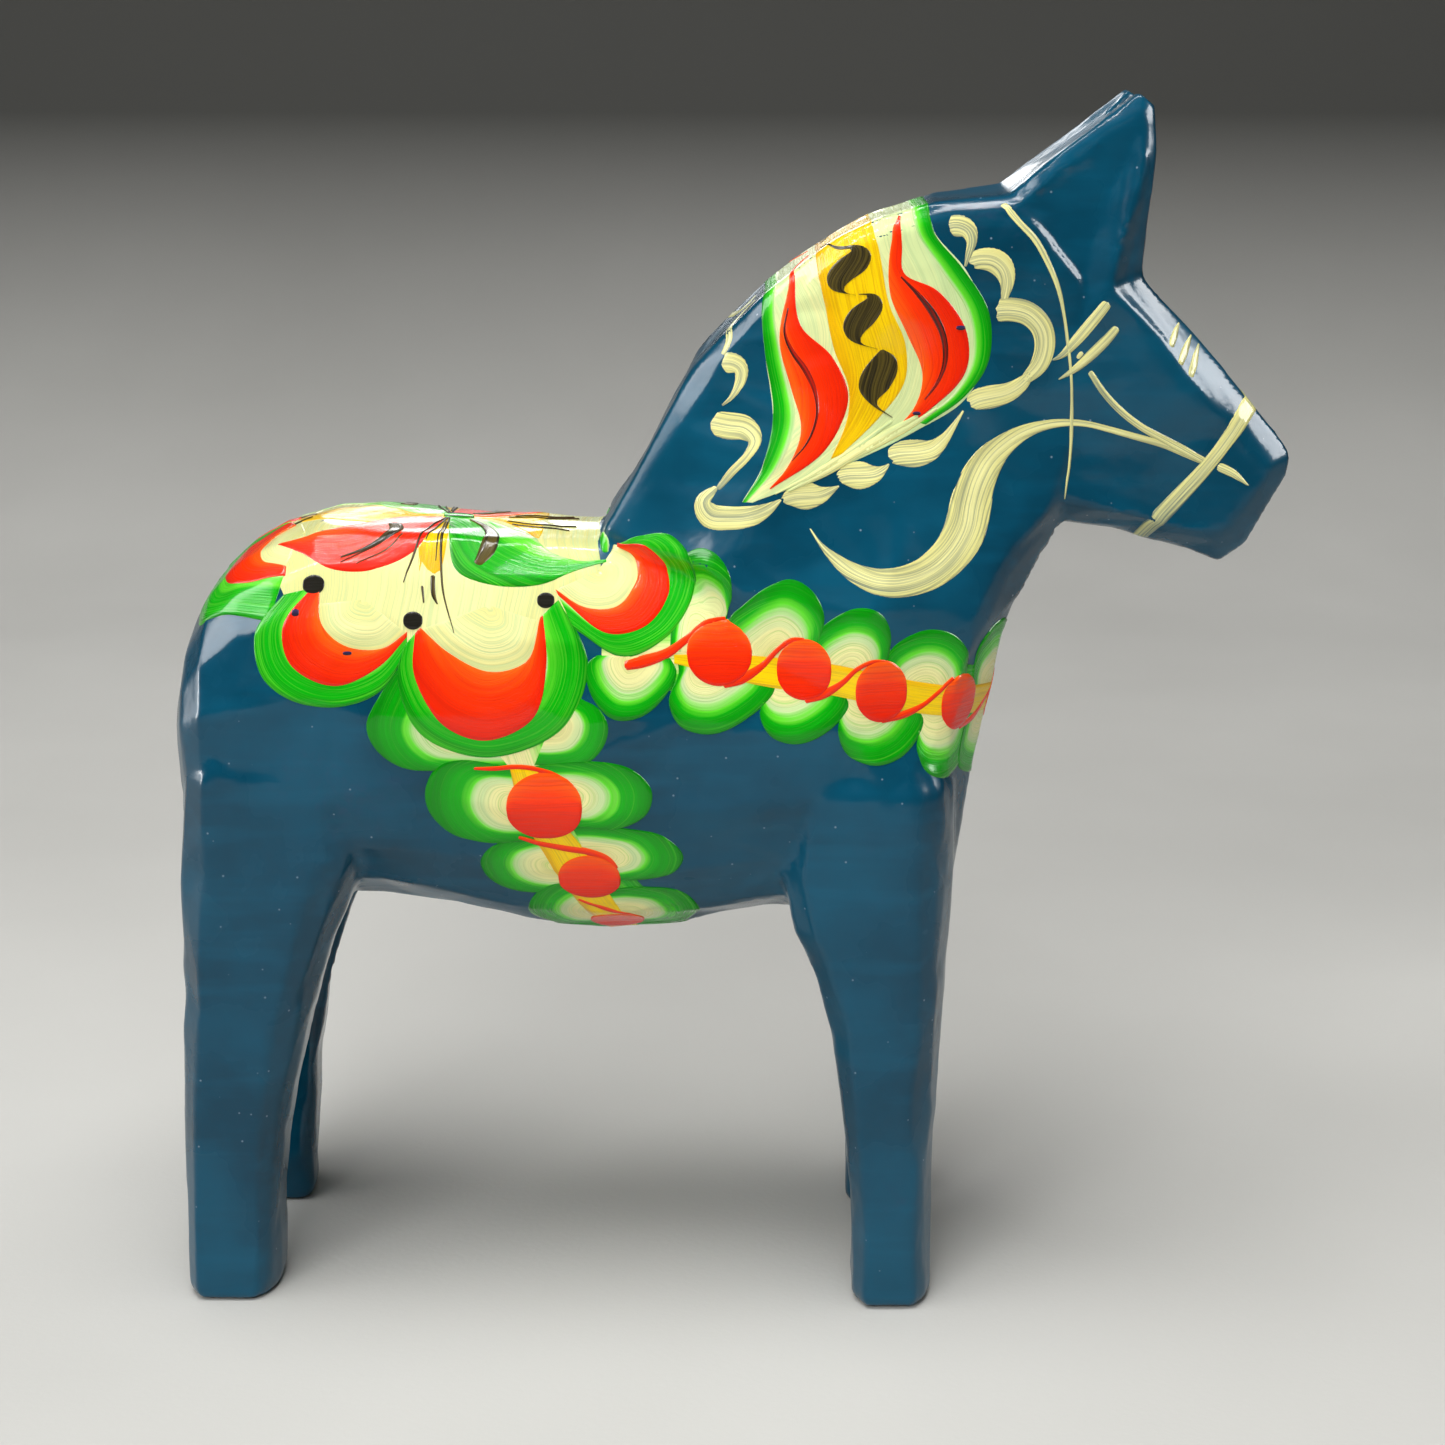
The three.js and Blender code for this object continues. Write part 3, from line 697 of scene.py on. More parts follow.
def chest_band(p):
    ground_a = [*over((-20, 116), (-8, 118), (6, 118), (19, 115.8), (32, 112)), front(-15, 109),
                front(1, 108.6)]
    ground_b = [*over((-20, 107.6), (-8, 107), (6, 104.4), (19, 102), (32, 98.4)), front(-15, 97.6),
                front(1, 97.4)]
    p.patch(ground_a, ground_b, "ground", 0)
    lobes = [
        ([(-9, 113), (-0.5, 113)],
         [(-8.6, 121), (-7.4, 126.6), (-4.6, 129), (-1.6, 128.4), (0.5, 125.6), (0.9, 122), (0, 118)]),
        ([(26, 106.6), (36.5, 104.2)],
         [(25.8, 113), (28, 115.2), (32.4, 116.6), (36.6, 115.4), (39, 111.8), (38.6, 107.6)]),
        ([(14, 110), (24.5, 107)],
         [(13.8, 115.6), (16, 118.2), (20.6, 120.6), (24.4, 119.8), (26.2, 116.4), (25.6, 111.4)]),
        ([(1.5, 112.8), (13, 110.2)],
         [(0.4, 118), (2.6, 120.6), (6.4, 123.6), (10.4, 124.9), (13.8, 123), (15.6, 119.2), (14.6, 114.6)]),
        ([(-20.6, 112.6), (-9, 112.4)],
         [(-22.4, 111), (-21.6, 106.2), (-18, 102.5), (-13.4, 103), (-9.6, 106.4), (-7.8, 110)]),
        ([(27, 106.4), (37, 104.2)],
         [(31, 102.4), (30.6, 97), (32.6, 93.2), (35.6, 91.8), (38.4, 93.6), (40.2, 99)]),
        ([(14.4, 110), (25.6, 106.6)],
         [(19, 105.6), (17.8, 101.2), (19.4, 96.8), (24, 95), (28.8, 96.6), (31.8, 102)]),
        ([(2, 112.4), (13.4, 110)],
         [(6.8, 107.6), (5.3, 103.6), (7.2, 99.9), (11.2, 98.7), (15.8, 100.4), (19.8, 105.2)]),
        ([(-8, 112.4), (1, 112.6)],
         [(-7.6, 110), (-9.2, 105.4), (-7.2, 101.4), (-2.4, 100.2), (2.8, 102.4), (8, 107.6)]),
    ]
    for base, outline in lobes:
        p.lobe(over(*base), over(*outline))
    front_lobes = [
        ([(-18, 104), (-8, 103.4)], [(-19.4, 109), (-19.6, 113.6), (-15.5, 116.6), (-11, 114.6),
            (-9.4, 109)]),
        ([(-18, 103), (-8, 102.6)], [(-19.4, 97), (-19.8, 93), (-15, 90.4), (-10, 92), (-8.6, 98)]),
    ]
    if p.hand == RIGHT:
        front_lobes += [
            ([(-7.6, 103.4), (7.6, 103.4)], [(-8.4, 110), (-6, 114.8), (0, 116.8), (6, 114.8), (8.4, 110)]),
            ([(-7.6, 102.6), (7.6, 102.6)], [(-8, 96), (-5.6, 91.2), (0, 89.2), (5.6, 91.2), (8, 96)]),
        ]
    for base, outline in front_lobes:
        p.lobe([front(*q) for q in base], [front(*q) for q in outline])
    yellow_top = [*over((-8.4, 112.8), (5, 112.6), (18.5, 111.4), (31, 108.2)), front(-14, 105.6),
                  front(1, 105.4)]
    yellow_low = [*over((-8.4, 111.4), (5, 107.8), (18.5, 106), (31, 102.8)), front(-14, 100.6),
                  front(1, 100.4)]
    p.patch(yellow_top, yellow_low, "yellow", 4.2)
    discs = [(side(-1.1, 113), 5.3, 5.5), (side(12.4, 110.4), 4.5, 5.2), (side(24.7, 107), 4.4, 5.2),
             (side(37.7, 104), 4.5, 4.8), (front(-9, 103), 4.5, 4.8)]
    for centre, wide, tall in discs:
        p.disc(centre, wide, tall)
    p.stroke(run((-16.4, 110.9, 1.6), (-13.4, 111.6, 2.2), (-9.6, 112.9, 1.7), (-6, 115.3, 1.3),
                 (-3, 117.4, 1.2), (0, 118.2, 0.6)), "orange", 4.9)
    tails = [
        run((-0.6, 107.8, 0.8), (2.6, 109, 2), (5.8, 111, 1.3), (8.2, 113.6, 0.9), (10.4, 115.2, 1),
            (12.6, 115.4, 0.5)),
        run((12.4, 105.4, 0.8), (15.6, 106.6, 1.8), (18.6, 108.6, 1.2), (20.8, 110.8, 0.9),
            (23.2, 111.9, 0.8), (25.4, 111.9, 0.4)),
        run((24.6, 102.1, 0.8), (28.4, 103, 1.6), (31.6, 104.4, 1.1), (34.4, 106.6, 0.9), (36.6, 108.4, 0.7)),
    ]
    for tail in tails:
        p.stroke(tail, "orange", 4.9)
    p.stroke(knots_on(front, (-20.5, 99.4, 0.8), (-17, 100.4, 1.6), (-14, 103, 1), (-11, 106.6, 0.8)),
             "orange", 4.9)
    p.stroke(knots_on(front, (-8, 98.6, 0.8), (-4, 99.6, 1.5), (0.5, 102.6, 1)), "orange", 4.9)


# --- girth band


def girth_band(p):
    ground_a = [*over((-46, 99), (-41, 89), (-36, 79), (-31.4, 72)), below(-27.6, -17), below(-25, 1)]
    ground_b = [*over((-24, 99), (-22, 89), (-17.4, 79), (-13.6, 73)), below(-10, -18), below(-9, 1)]
    p.patch(ground_a, ground_b, "ground", 0)
    lobes = [
        ([(-44, 106), (-34, 94)], [(-51.5, 111), (-55.6, 106), (-57.5, 101.6), (-56, 97.6), (-51.8, 94.6),
            (-45, 94)]),
        ([(-25, 108), (-31, 95)], [(-23.4, 106), (-20.4, 104.4), (-18.8, 101.6), (-19.6, 98), (-22.4, 95.2),
            (-27.6, 94.6)]),
        ([(-30.4, 82.6), (-24, 72)], [(-34.6, 82), (-38.4, 80.6), (-40.2, 77.6), (-38.6, 73.4),
            (-34.6, 71.4), (-29, 71.2)]),
        ([(-33.4, 94.6), (-28.6, 81.4)], [(-42.6, 96), (-46.4, 94.8), (-48.4, 91), (-48, 87), (-44.6, 83),
            (-39.6, 81.5), (-33, 81.6)]),
        ([(-25, 84.4), (-20.6, 74)], [(-22, 84.6), (-15.6, 84.1), (-10, 82.7), (-6.9, 79), (-8.6, 76),
            (-13.4, 74.6), (-19, 74.4)]),
        ([(-31, 94.8), (-25.6, 84.6)], [(-26.4, 95.4), (-20, 95.6), (-15, 94.2), (-11.9, 90.6),
            (-12.8, 86.6), (-17, 84.2), (-23.6, 84.4)]),
    ]
    for base, outline in lobes:
        p.lobe(over(*base), over(*outline), "lobe_wide")
    belly_lobes = [
        ([(-22, -23), (-19, -12)], [(-28, -23.4), (-32.4, -20), (-32.8, -14.6), (-28.6, -11), (-22, -11)]),
        ([(-20, -23), (-17, -12)], [(-14.4, -23.4), (-7.6, -22), (-4.4, -17), (-7, -12), (-14, -11)]),
        ([(-19, -11), (-18, 1)], [(-24, -11.4), (-29.8, -9.4), (-31, -3.4), (-28, 1.2), (-21, 1.6)]),
        ([(-17, -11), (-16.4, 1)], [(-12, -11.4), (-5.8, -9.6), (-3.6, -3.6), (-6.6, 1.2), (-14, 1.6)]),
    ]
    for base, outline in belly_lobes:
        p.lobe([below(*q) for q in base], [below(*q) for q in outline], "lobe_wide")
    edge_a = [*over((-34.8, 94.6), (-33, 86), (-29.6, 79), (-26, 72)), below(-22.6, -17), below(-19.6, -6),
              below(-19.4, 1)]
    edge_b = [*over((-30.4, 94.8), (-27, 86.4), (-22.6, 79.6), (-19.6, 72.6)), below(-16.6, -17),
              below(-14.6, -6), below(-14.4, 1)]
    p.patch(edge_a, edge_b, "yellow", 4.2)
    p.disc(side(-29.3, 87.8), 6.2, 6.2)
    p.disc(side(-22.4, 74.8), 5.2, 5.0)
    p.disc(below(-18.4, -14.2), 4.6, 4.6)
    p.disc(below(-17, -1), 4.2, 4.2)
    p.stroke(run((-40.6, 94.5, 0.5), (-37.6, 94.5, 0.9), (-33.4, 94.7, 0.9), (-30, 94.2, 1), (-27.2, 93, 1.4),
                 (-25, 91, 1.2)), "orange", 4.9)
    p.stroke(run((-33.8, 82.6, 0.6), (-30.4, 81.4, 1.2), (-26.6, 80.6, 1.6), (-22.4, 79.9, 1.6),
                 (-19.4, 78.6, 1.6),
                 (-17.8, 76.6, 1)), "orange", 4.9)
    p.stroke([*run((-24.6, 70.4, 0.6), (-21, 68.6, 1.4)), *knots_on(below, (-17, -18.4, 1.4),
        (-14.4, -15.4, 0.8))],
             "orange", 4.9)
    p.stroke(knots_on(below, (-20, -10, 0.6), (-17, -7.4, 1.4), (-13.8, -5.4, 1.2), (-13, -2.6, 0.7)),
             "orange", 4.9)


# --- saddle flower


def saddle_flower(p):
    field_rear = [top(-77, 0.8), top(-77.6, -6), top(-77, -13), side(-72, 123), side(-68.4, 117),
                  side(-62, 112)]
    field_front = [top(-21.5, 0.8), top(-21, -6), top(-21, -12), side(-20.5, 124), side(-25, 119),
                   side(-33, 111.5)]
    p.patch(field_rear, field_front, "field", 0)
    # Scallops: the heart's edge, the orange crescent's edge and the green crescent's edge.
    scallops = [
        ([top(-71.6, -4), top(-75.4, -9), top(-75.4, -15), top(-71, -18.6)],
         [top(-72.6, -1), top(-80.6, -5), top(-81.8, -14), side(-78, 122.4), top(-70.8, -20.6)],
         [top(-76, 0.8), top(-84.6, -3), side(-86, 115), side(-80.6, 118), side(-73, 117.6)]),
        (over((-65.2, 122.4), (-64.4, 117.4), (-60.6, 114.2), (-54.8, 113.8), (-50.8, 116.4)),
         over((-66.2, 122.8), (-70.9, 117), (-69.6, 111), (-62.5, 107.8), (-55.4, 110.8), (-50.8, 115.6)),
         over((-71, 121.6), (-75.2, 116.4), (-74.2, 109.4), (-69.4, 105.6), (-62.4, 104.5), (-55.2, 107),
              (-50.8, 113.4))),
        (over((-48.8, 117), (-44.2, 113.2), (-37.6, 110.2), (-31.8, 111.8), (-29.8, 118.2)),
         over((-49.6, 116.2), (-49.8, 109.6), (-45, 101.4), (-38.4, 99), (-30.8, 102.6), (-28.7, 111),
              (-29.4, 118.6)),
         over((-51.2, 114.4), (-52.5, 109.4), (-48.8, 100), (-38.6, 96.2), (-26.4, 100.6), (-22, 111),
              (-27, 120.8))),
        (over((-18, 127.7), (-15.4, 126.6), (-14.6, 123.4), (-17.6, 119.8), (-22.6, 119.6), (-27.6, 122.2)),
         over((-18, 128.3), (-12.6, 128.4), (-9, 122.4), (-12.4, 117), (-18.8, 115.7), (-27, 121.2)),
         over((-14.6, 129.8), (-9.4, 130.6), (-5.6, 127), (-5.2, 121.6), (-8.8, 115.9), (-16.2, 112.2),
              (-24.6, 116.6))),
    ]
    for heart, orange, green in scallops:
        p.patch(between(orange, heart, 0.3), green, "green", 2 + LOBE_LIFT * p.lobes)
        p.patch(heart, orange, "orange", 4)
        p.lobes += 1
    hearts = [
        (top(-69, -11), [top(-70.5, -4), top(-75, -9), top(-75.4, -15), top(-71, -18.8)]),
        (side(-58, 121), over((-64.6, 120.6), (-63.8, 116.4), (-59.8, 114), (-54.8, 113.9), (-51.2, 116.6))),
        (side(-38, 120), over((-48.2, 117), (-44, 113.2), (-37.6, 110.3), (-31.9, 112), (-30.4, 118))),
        (side(-21, 124.4), over((-27.4, 122.3), (-22.6, 119.7), (-17.6, 119.9), (-14.7, 123.4),
            (-15.6, 126.6), (-18.6, 127.7))),
    ]
    for pivot, outline in hearts:
        p.patch(*around(pivot, outline), "field", 1)
    # Yellow between the leaves and along the crown.
    p.patch([top(-72, 0.8), top(-60, 0.8), top(-47, 0.8)], [top(-71, -3), top(-62, -6.4), top(-54, -6),
        top(-47, -1.6)],
            "yellow", 1, dry=(0.5, 0))
    p.patch([top(-51, -2), top(-50.6, -10), top(-50, -17), side(-49.4, 124.4)],
            [top(-45.2, -2), top(-45.4, -10), top(-45.6, -17), side(-46, 124.4)],
            "yellow", 1, dry=(0, 1.3), rag=(0, 3))
    p.patch([top(-42, 0.6), top(-37, -2), top(-33.5, -7), top(-31.4, -11)],
            [top(-33, 0.6), top(-31, -2), top(-30.4, -6), top(-30.8, -11)], "yellow", 1, dry=(0, 0.4))
    rear_leaf = ([top(-73.4, -12.5), top(-68, -12.9), top(-61.8, -10), top(-57, -3.6), top(-52, -0.6),
                  top(-47.6, -0.8)],
                 [top(-73.4, -12.7), top(-69, -16.4), top(-64, -20.4), top(-57, -20.8), top(-50.6, -16.6),
                  top(-47.8, -7), top(-47.2, -1.6)])
    front_leaf = ([top(-46.4, -1.2), top(-42, -0.8), top(-37.2, -3.4), top(-32.6, -9), top(-29, -14.2),
                   top(-24, -16), top(-19.4, -15.4)],
                  [top(-46.4, -1.6), top(-45.6, -11), top(-43.4, -19.6), side(-37.6, 122.8),
                   top(-29.6, -20.4), top(-24, -17.8), top(-19.4, -15.8)])
    leaf_paints = ("orange", "green") if p.hand == RIGHT else ("green", "orange")
    for leaf, paint in zip((rear_leaf, front_leaf), leaf_paints):
        p.patch(*leaf, paint, 2)
    # Charcoal: junction dots, a comma on each leaf, and sepia hairs that fan out from the button.
    for spot, size in ((top(-66.2, -22), 1.8), (side(-50, 118), 1.6), (side(-29, 120.6), 1.45)):
        p.disc(spot, size, size, "ink")
    p.stroke(knots_on(top, (-43, -2, 0.5), (-40.2, -5.4, 1.5), (-38.6, -10, 2.5), (-38.9, -15, 3),
                   (-40.4, -18, 1.3)),
             "charcoal", 4.9, dry=(0.2, 0.2))
    p.stroke(knots_on(top, (-54.9, -7, 2.6), (-54.2, -10.4, 2.6), (-55.2, -13.8, 1.6), (-58, -16.6, 0.8),
                   (-62.4, -18.6, 0.3)), "charcoal", 4.9, dry=(0.2, 0.3))
    hairs = [
        [*knots_on(top, (-46.8, -1.6, 0.5), (-48.6, -6, 0.6), (-49.8, -12, 0.5)),
         *run((-50.8, 126.4, 0.4), (-51.8, 123.4, 0.2))],
        knots_on(top, (-46.6, -1.6, 0.4), (-47.8, -7, 0.35), (-49, -14, 0.2)),
        [*knots_on(top, (-46.4, -2, 0.5), (-46.5, -13, 0.6)), *run((-46.2, 126.4, 0.5), (-45.4, 122, 0.35),
            (-43.4, 116, 0.15))],
        knots_on(top, (-46.8, -4, 0.35), (-47.1, -13, 0.35), (-47, -18, 0.2)),
        run((-48.8, 123, 0.5), (-48.4, 120.4, 0.3)),
        run((-47.2, 124.4, 0.8), (-46.9, 121.6, 0.8), (-46.2, 120.2, 0.2)),
        knots_on(top, (-53.6, -12.4, 0.25), (-56.6, -16, 0.35), (-62.2, -19.6, 0.15)),
        knots_on(top, (-52.8, -12.8, 0.25), (-55, -16.8, 0.3), (-59.6, -20, 0.15)),
        knots_on(top, (-73, -4.4, 0.4), (-71, -2.6, 0.4), (-69, -1.8, 0.2)),
        knots_on(top, (-37, -1.4, 0.2), (-31, -3, 0.25), (-25, -4, 0.12)),
        knots_on(top, (-36, -3, 0.2), (-31, -5, 0.25), (-26, -6.6, 0.12)),
    ]
    for hair in hairs:
        p.stroke(hair, "sepia", 4.9)
    p.disc(side(-68.8, 119), 0.7, 0.8, "chipped")
    p.disc(side(-60.4, 113), 0.8, 0.5, "chipped")


def saddle_crown(p):
    """The button in the middle of the crown, and the small green leaf at the foot of the mane."""
    p.disc(top(-45, 0), 2.6, 1.7, "green", 5)
    for y in (-1, 1):
        p.stroke(knots_on(top, (-47.2, 0.6 * y, 0.7), (-45, y, 1), (-42.6, 0.6 * y, 0.5)), "ink", 6)
    for y in (-1, 1):
        p.stroke(knots_on(top, (-20.6, 9 * y, 0.8), (-20.2, 11.4 * y, 1.8), (-19.8, 14 * y, 1)), "green", 3)


both_sides("chest_band", chest_band)
both_sides("girth_band", girth_band)
both_sides("saddle_flower", saddle_flower)
crown = Painting("saddle_crown")
saddle_crown(crown)
crown.done()


# --- mane and head


def over_the_mane(side_points, crest_x):
    """A rail from a point low on the right side, over the crest and down the left side."""
    right = [*over(*side_points), top(crest_x, -9), top(crest_x, -5)]
    left = [(x, -y, z) for x, y, z in reversed(right)]
    return [*right, top(crest_x, 0), *left]


def mane_panel(p):
    ground_a = over_the_mane([(2.4, 136.4), (5.6, 142), (7.2, 149), (5.9, 159), (5.4, 166)], 6)
    ground_b = over_the_mane([(4, 136.4), (15, 140.6), (30, 147), (38.4, 152.6), (41.9, 162.6), (38.1, 172),
        (32.7, 178.3)], 31.8)
    p.patch(ground_a, ground_b, "milk", 0)
    yellow_a = over_the_mane([(16.4, 143), (19, 149), (19.2, 154), (16.8, 160), (15.2, 167.5), (14.2, 172)],
        14)
    yellow_b = over_the_mane([(18, 143.6), (24.6, 149.6), (28.4, 155), (28.4, 161), (25.8, 167),
        (24.2, 175)], 23)
    p.patch(yellow_a, yellow_b, "yellow", 1, dry=(0.3, 0.3))
    green_a = over_the_mane([(2.4, 136.3), (5.4, 141.4), (7.2, 149.8), (5.9, 159.3), (5.4, 166)], 5.8)
    green_b = over_the_mane([(3.2, 136.4), (8.6, 142.4), (11, 149), (9.2, 157), (7.6, 165)], 8.2)
    p.patch(green_a, green_b, "strip", 1)
    green_c = over_the_mane([(31.6, 148), (38, 152.6), (41.6, 158), (41.5, 166), (37.4, 172.6),
        (32.8, 178)], 31.9)
    green_d = over_the_mane([(30.2, 148.4), (36, 153), (38.8, 158.4), (38, 165.6), (33.6, 172.4),
        (29.8, 178)], 29)
    p.patch(green_c, green_d, "strip", 1)


def flames(p):
    p.patch(over((12.7, 174.3), (9.5, 168.5), (8.2, 161), (10, 154), (11.7, 147.6), (9.6, 142), (6.7, 138.6)),
            over((12.8, 174.3), (10.8, 168), (11.8, 163.4), (16.8, 158.8), (19.4, 152.4), (15.6, 144.4),
                 (6.8, 138.5)),
            "orange", 2)
    p.patch(over((27.1, 180.7), (25.6, 175), (25.7, 168.5), (28.4, 162.4), (31, 156), (29.4, 150.2),
                 (22.2, 144.4)),
            over((27.4, 180.7), (27.6, 176), (27.9, 171.9), (33.4, 169.2), (38, 163), (38, 156.4),
                 (32, 150.2), (22.3, 144.2)),
            "orange", 2)
    p.stroke(run((9.7, 166.5, 0.3), (9.1, 162.6, 0.6), (10.3, 159.6, 1), (12.4, 156.8, 1.3),
                 (13.9, 153.6, 1), (14.3, 150, 0.6),
                 (12.8, 145.8, 0.4), (10.2, 142.8, 0.15)), "umber", 3)
    p.stroke(run((27.3, 171.5, 0.3), (30.2, 168.6, 0.9), (32.6, 165.6, 1.5), (34.3, 162, 1.3),
                 (34.6, 158, 1), (33.4, 154.6, 0.6),
                 (31.3, 151.9, 0.2)), "umber", 3)
    commas = [
        ([(14.2, 175.9), (17.6, 175.3), (20.2, 175.6), (17.4, 173.8), (15.6, 171.4), (16.2, 169.4),
          (20.4, 168.5)],
         [(14.3, 176), (17.4, 175.8), (21.8, 176), (22.9, 174.6), (22, 172.4), (19.6, 170.8), (18.2, 169.2),
          (20.5, 168.4)]),
        ([(20.6, 168.6), (22.6, 168.4), (19.4, 166.2), (18.2, 163.6), (19.2, 161.6), (24, 160)],
         [(20.7, 168.7), (23.8, 168.6), (24.8, 166.8), (23.4, 164.2), (21.6, 162.6), (21, 161.2),
          (24.1, 160)]),
        ([(24.4, 160), (22.6, 158.2), (21, 155.8), (20.9, 153.6), (22.8, 151.4), (26.4, 149.2)],
         [(24.6, 160.1), (26.8, 158.8), (27.2, 156.6), (25.8, 153.8), (23.7, 151.6), (26.5, 149.2)]),
    ]
    for left_edge, right_edge in commas:
        p.patch(over(*left_edge), over(*right_edge), "charcoal", 3)
    feathers = [
        ((30.6, 149.6, 0.8), (24, 145.8, 1.7), (16, 141.4, 1.5), (9.6, 138.2, 0.4)),
        ((26.4, 148.8, 0.5), (20, 144.4, 1.1), (13, 140.4, 1), (7.6, 137.8, 0.2)),
        ((33.6, 150.8, 0.5), (29, 147.8, 1.2), (23, 144.6, 1), (18, 142, 0.3)),
    ]
    for feather in feathers:
        p.stroke(run(*feather), "field", 3, dry=(0.35, 0.35))
    p.disc(side(37, 163.4), 0.8, 0.5, "chipped")
    p.disc(side(30.2, 149.9), 0.7, 0.4, "chipped")


def scrolls(p):
    strokes = [
        (((3.6, 167.6, 1.2), (1.9, 164.6, 1.5), (0.2, 161, 1.4), (-0.8, 158.8, 1)), (0, 0), (0.2, 0)),
        (((-1.2, 157.7, 3.5), (0.9, 157.7, 3.5), (2.2, 156.8, 2.6), (2.1, 154.9, 1.8), (0.7, 152.4, 0.9),
          (-0.9, 151, 0.3)), (0.4, 0), (0, 0.2)),
        (((-2.9, 148.4, 3.6), (0.2, 147.9, 4.6), (2.9, 147.6, 4.2), (4.5, 145.8, 2.4), (3.2, 143.4, 1.5),
          (0.8, 140.9, 1.4), (-1.6, 138, 1)), (0.4, 0), (0, 0.45)),
        (((-1.6, 138.4, 0.8), (-3.9, 136, 3.2), (-2.8, 134, 4.2), (0.2, 133.9, 4), (3.6, 134.4, 3.6),
          (6.3, 135.4, 2.2), (8.7, 137, 0.3)), (0, 0), (0.1, 0.1)),
        (((8.6, 136.8, 0.8), (10.6, 137.4, 3.6), (12.9, 137.5, 4.6), (14.9, 137.6, 3), (16.6, 138.3, 1.3),
          (17.9, 139, 0.2)), (0.5, 0), (0.1, 0.1)),
        (((17.3, 140.2, 1), (19.2, 140.6, 3.8), (21.4, 140.6, 4.8), (23.4, 140.7, 3.2), (24.8, 141.3, 1.4),
          (25.9, 142.2, 0.2)), (0.5, 0), (0.1, 0.1)),
        (((25.4, 143.2, 2), (27.5, 143.6, 4), (30.2, 143.7, 4.8), (32.6, 144.1, 3.4), (34.6, 145.7, 1.9),
          (36.3, 148.1, 0.9), (37.7, 150.4, 0.3)), (0.9, 0), (0.1, 0.1)),
        (((38.2, 151.2, 1.8), (39.9, 152.1, 3.6), (42, 152.5, 3.9), (44.4, 153, 3.4), (46.7, 154.3, 2.6),
          (48.6, 156.4, 1)), (0.7, 0), (0.1, 0.2)),
        (((41.8, 166, 3.8), (44.6, 166.3, 3.9), (47.7, 165.6, 3.9), (49.9, 163.4, 3.7), (50.5, 160.6, 3.5),
          (49.6, 157.4, 3), (47.2, 154.9, 1.6)), (1.0, 0), (0.1, 0)),
        (((38, 173.7, 2.4), (39.9, 174.2, 3.4), (42, 174, 4), (43.6, 172.7, 3.8), (44.2, 170.8, 2.6),
          (44, 168.8, 1.5), (43.7, 167.4, 1)), (0.6, 0), (0.1, 0)),
        (((34.4, 179.1, 3), (36.2, 179.4, 3.8), (38, 178.6, 3), (38.5, 176.8, 1.7), (38, 174.8, 1.1),
          (37.5, 172.9, 0.3)), (0.5, 0), (0.1, 0)),
        (((13.2, 132.5, 0.2), (15, 130, 0.7), (17.2, 127.9, 1.8), (20.3, 125.8, 3.2), (24.7, 124.4, 4.6),
          (29.1, 124.5, 5.2), (33.2, 126, 5.9),
             (36.4, 128.8, 6.6), (38.3, 132, 7.2), (39, 135.6, 7), (40, 139, 6.2), (42.2, 142.8, 4.8),
             (45.4, 145.6, 3.2), (49, 147.3, 2), (53.4, 148.1, 1.3),
             (57.5, 147.9, 1), (61.2, 147, 1), (65.8, 145.7, 1.1), (70.4, 144.3, 1.2), (74.9, 142.5, 1.4),
             (77.3, 141.4, 1.2)), (0, 0), (0.2, 0.1)),
    ]
    for rows, rag, dry in strokes:
        p.stroke(run(*rows), "cream", 0, dry=dry, rag=rag)


def bridle(p):
    lines = [
        (((43.3, 182.6, 1.3), (45.8, 180, 1.2), (48.5, 177.2, 1.2), (50.6, 173.6, 1), (52.5, 169.2, 0.8),
          (53.5, 164.9, 0.55),
             (54.2, 160.6, 0.6), (54.8, 156.1, 0.5), (55.1, 151.8, 0.5), (55.2, 147.8, 0.7),
             (55.2, 144.7, 0.6), (55, 140.8, 0.5),
             (54.6, 137.7, 0.35), (54.4, 135.7, 0.15)), (0, 0.1)),
        (((60.4, 167.4, 1.8), (57.9, 164.2, 2), (55.3, 161.1, 1.8), (53.2, 158.9, 1), (51.7, 158.2, 0.25)),
         (0.1, 0.2)),
        (((62.1, 163.4, 1.4), (60.2, 161.2, 1.8), (58, 159, 1.8), (55.4, 156.7, 1.2), (52.8, 155.1, 0.2)),
         (0.1, 0.3)),
        (((56.6, 159.5, 1), (55.7, 158.4, 0.8)), (0, 0)),
        (((57.8, 156.4, 1), (60, 153.2, 1.1), (62.8, 150.2, 1.2), (66.1, 147.6, 1.2), (69.9, 145.4, 1.4),
          (74.3, 143, 1.5),
             (77, 141.5, 1)), (0.1, 0)),
        (((79.3, 140.7, 1.6), (82, 139.4, 1.4), (84.6, 137.4, 0.2)), (0.1, 0)),
        (((72.5, 163.6, 0.2), (71.6, 161.8, 1.4), (70.9, 160, 1.2)), (0, 0.1)),
        (((74.6, 161.6, 0.2), (73.4, 159.4, 1.5), (72.4, 157.2, 1.2)), (0, 0.1)),
        (((75.9, 160.2, 0.2), (75, 157.6, 1.5), (74.2, 155.2, 1.2)), (0, 0.1)),
    ]
    for rows, dry in lines:
        p.stroke(run(*rows), "cream", 1, dry=dry)


def noseband(p):
    right = run((69.4, 131.6, 3), (73, 135.5, 2.9), (76.9, 139.8, 2.5), (80.2, 144, 2.4), (82.6, 147.6, 3))
    left = [((x, -y, z), w) for (x, y, z), w in reversed(right)]
    under = cast((67.4, -6, 100), (0, 0, 1))
    whole = [(under, 2.4), *right, (top(84.6, 0), 3.2), *left, ((under[0], -under[1], under[2]), 2.4)]
    p.stroke(whole, "cream", 1, dry=(0.45, 0.45))


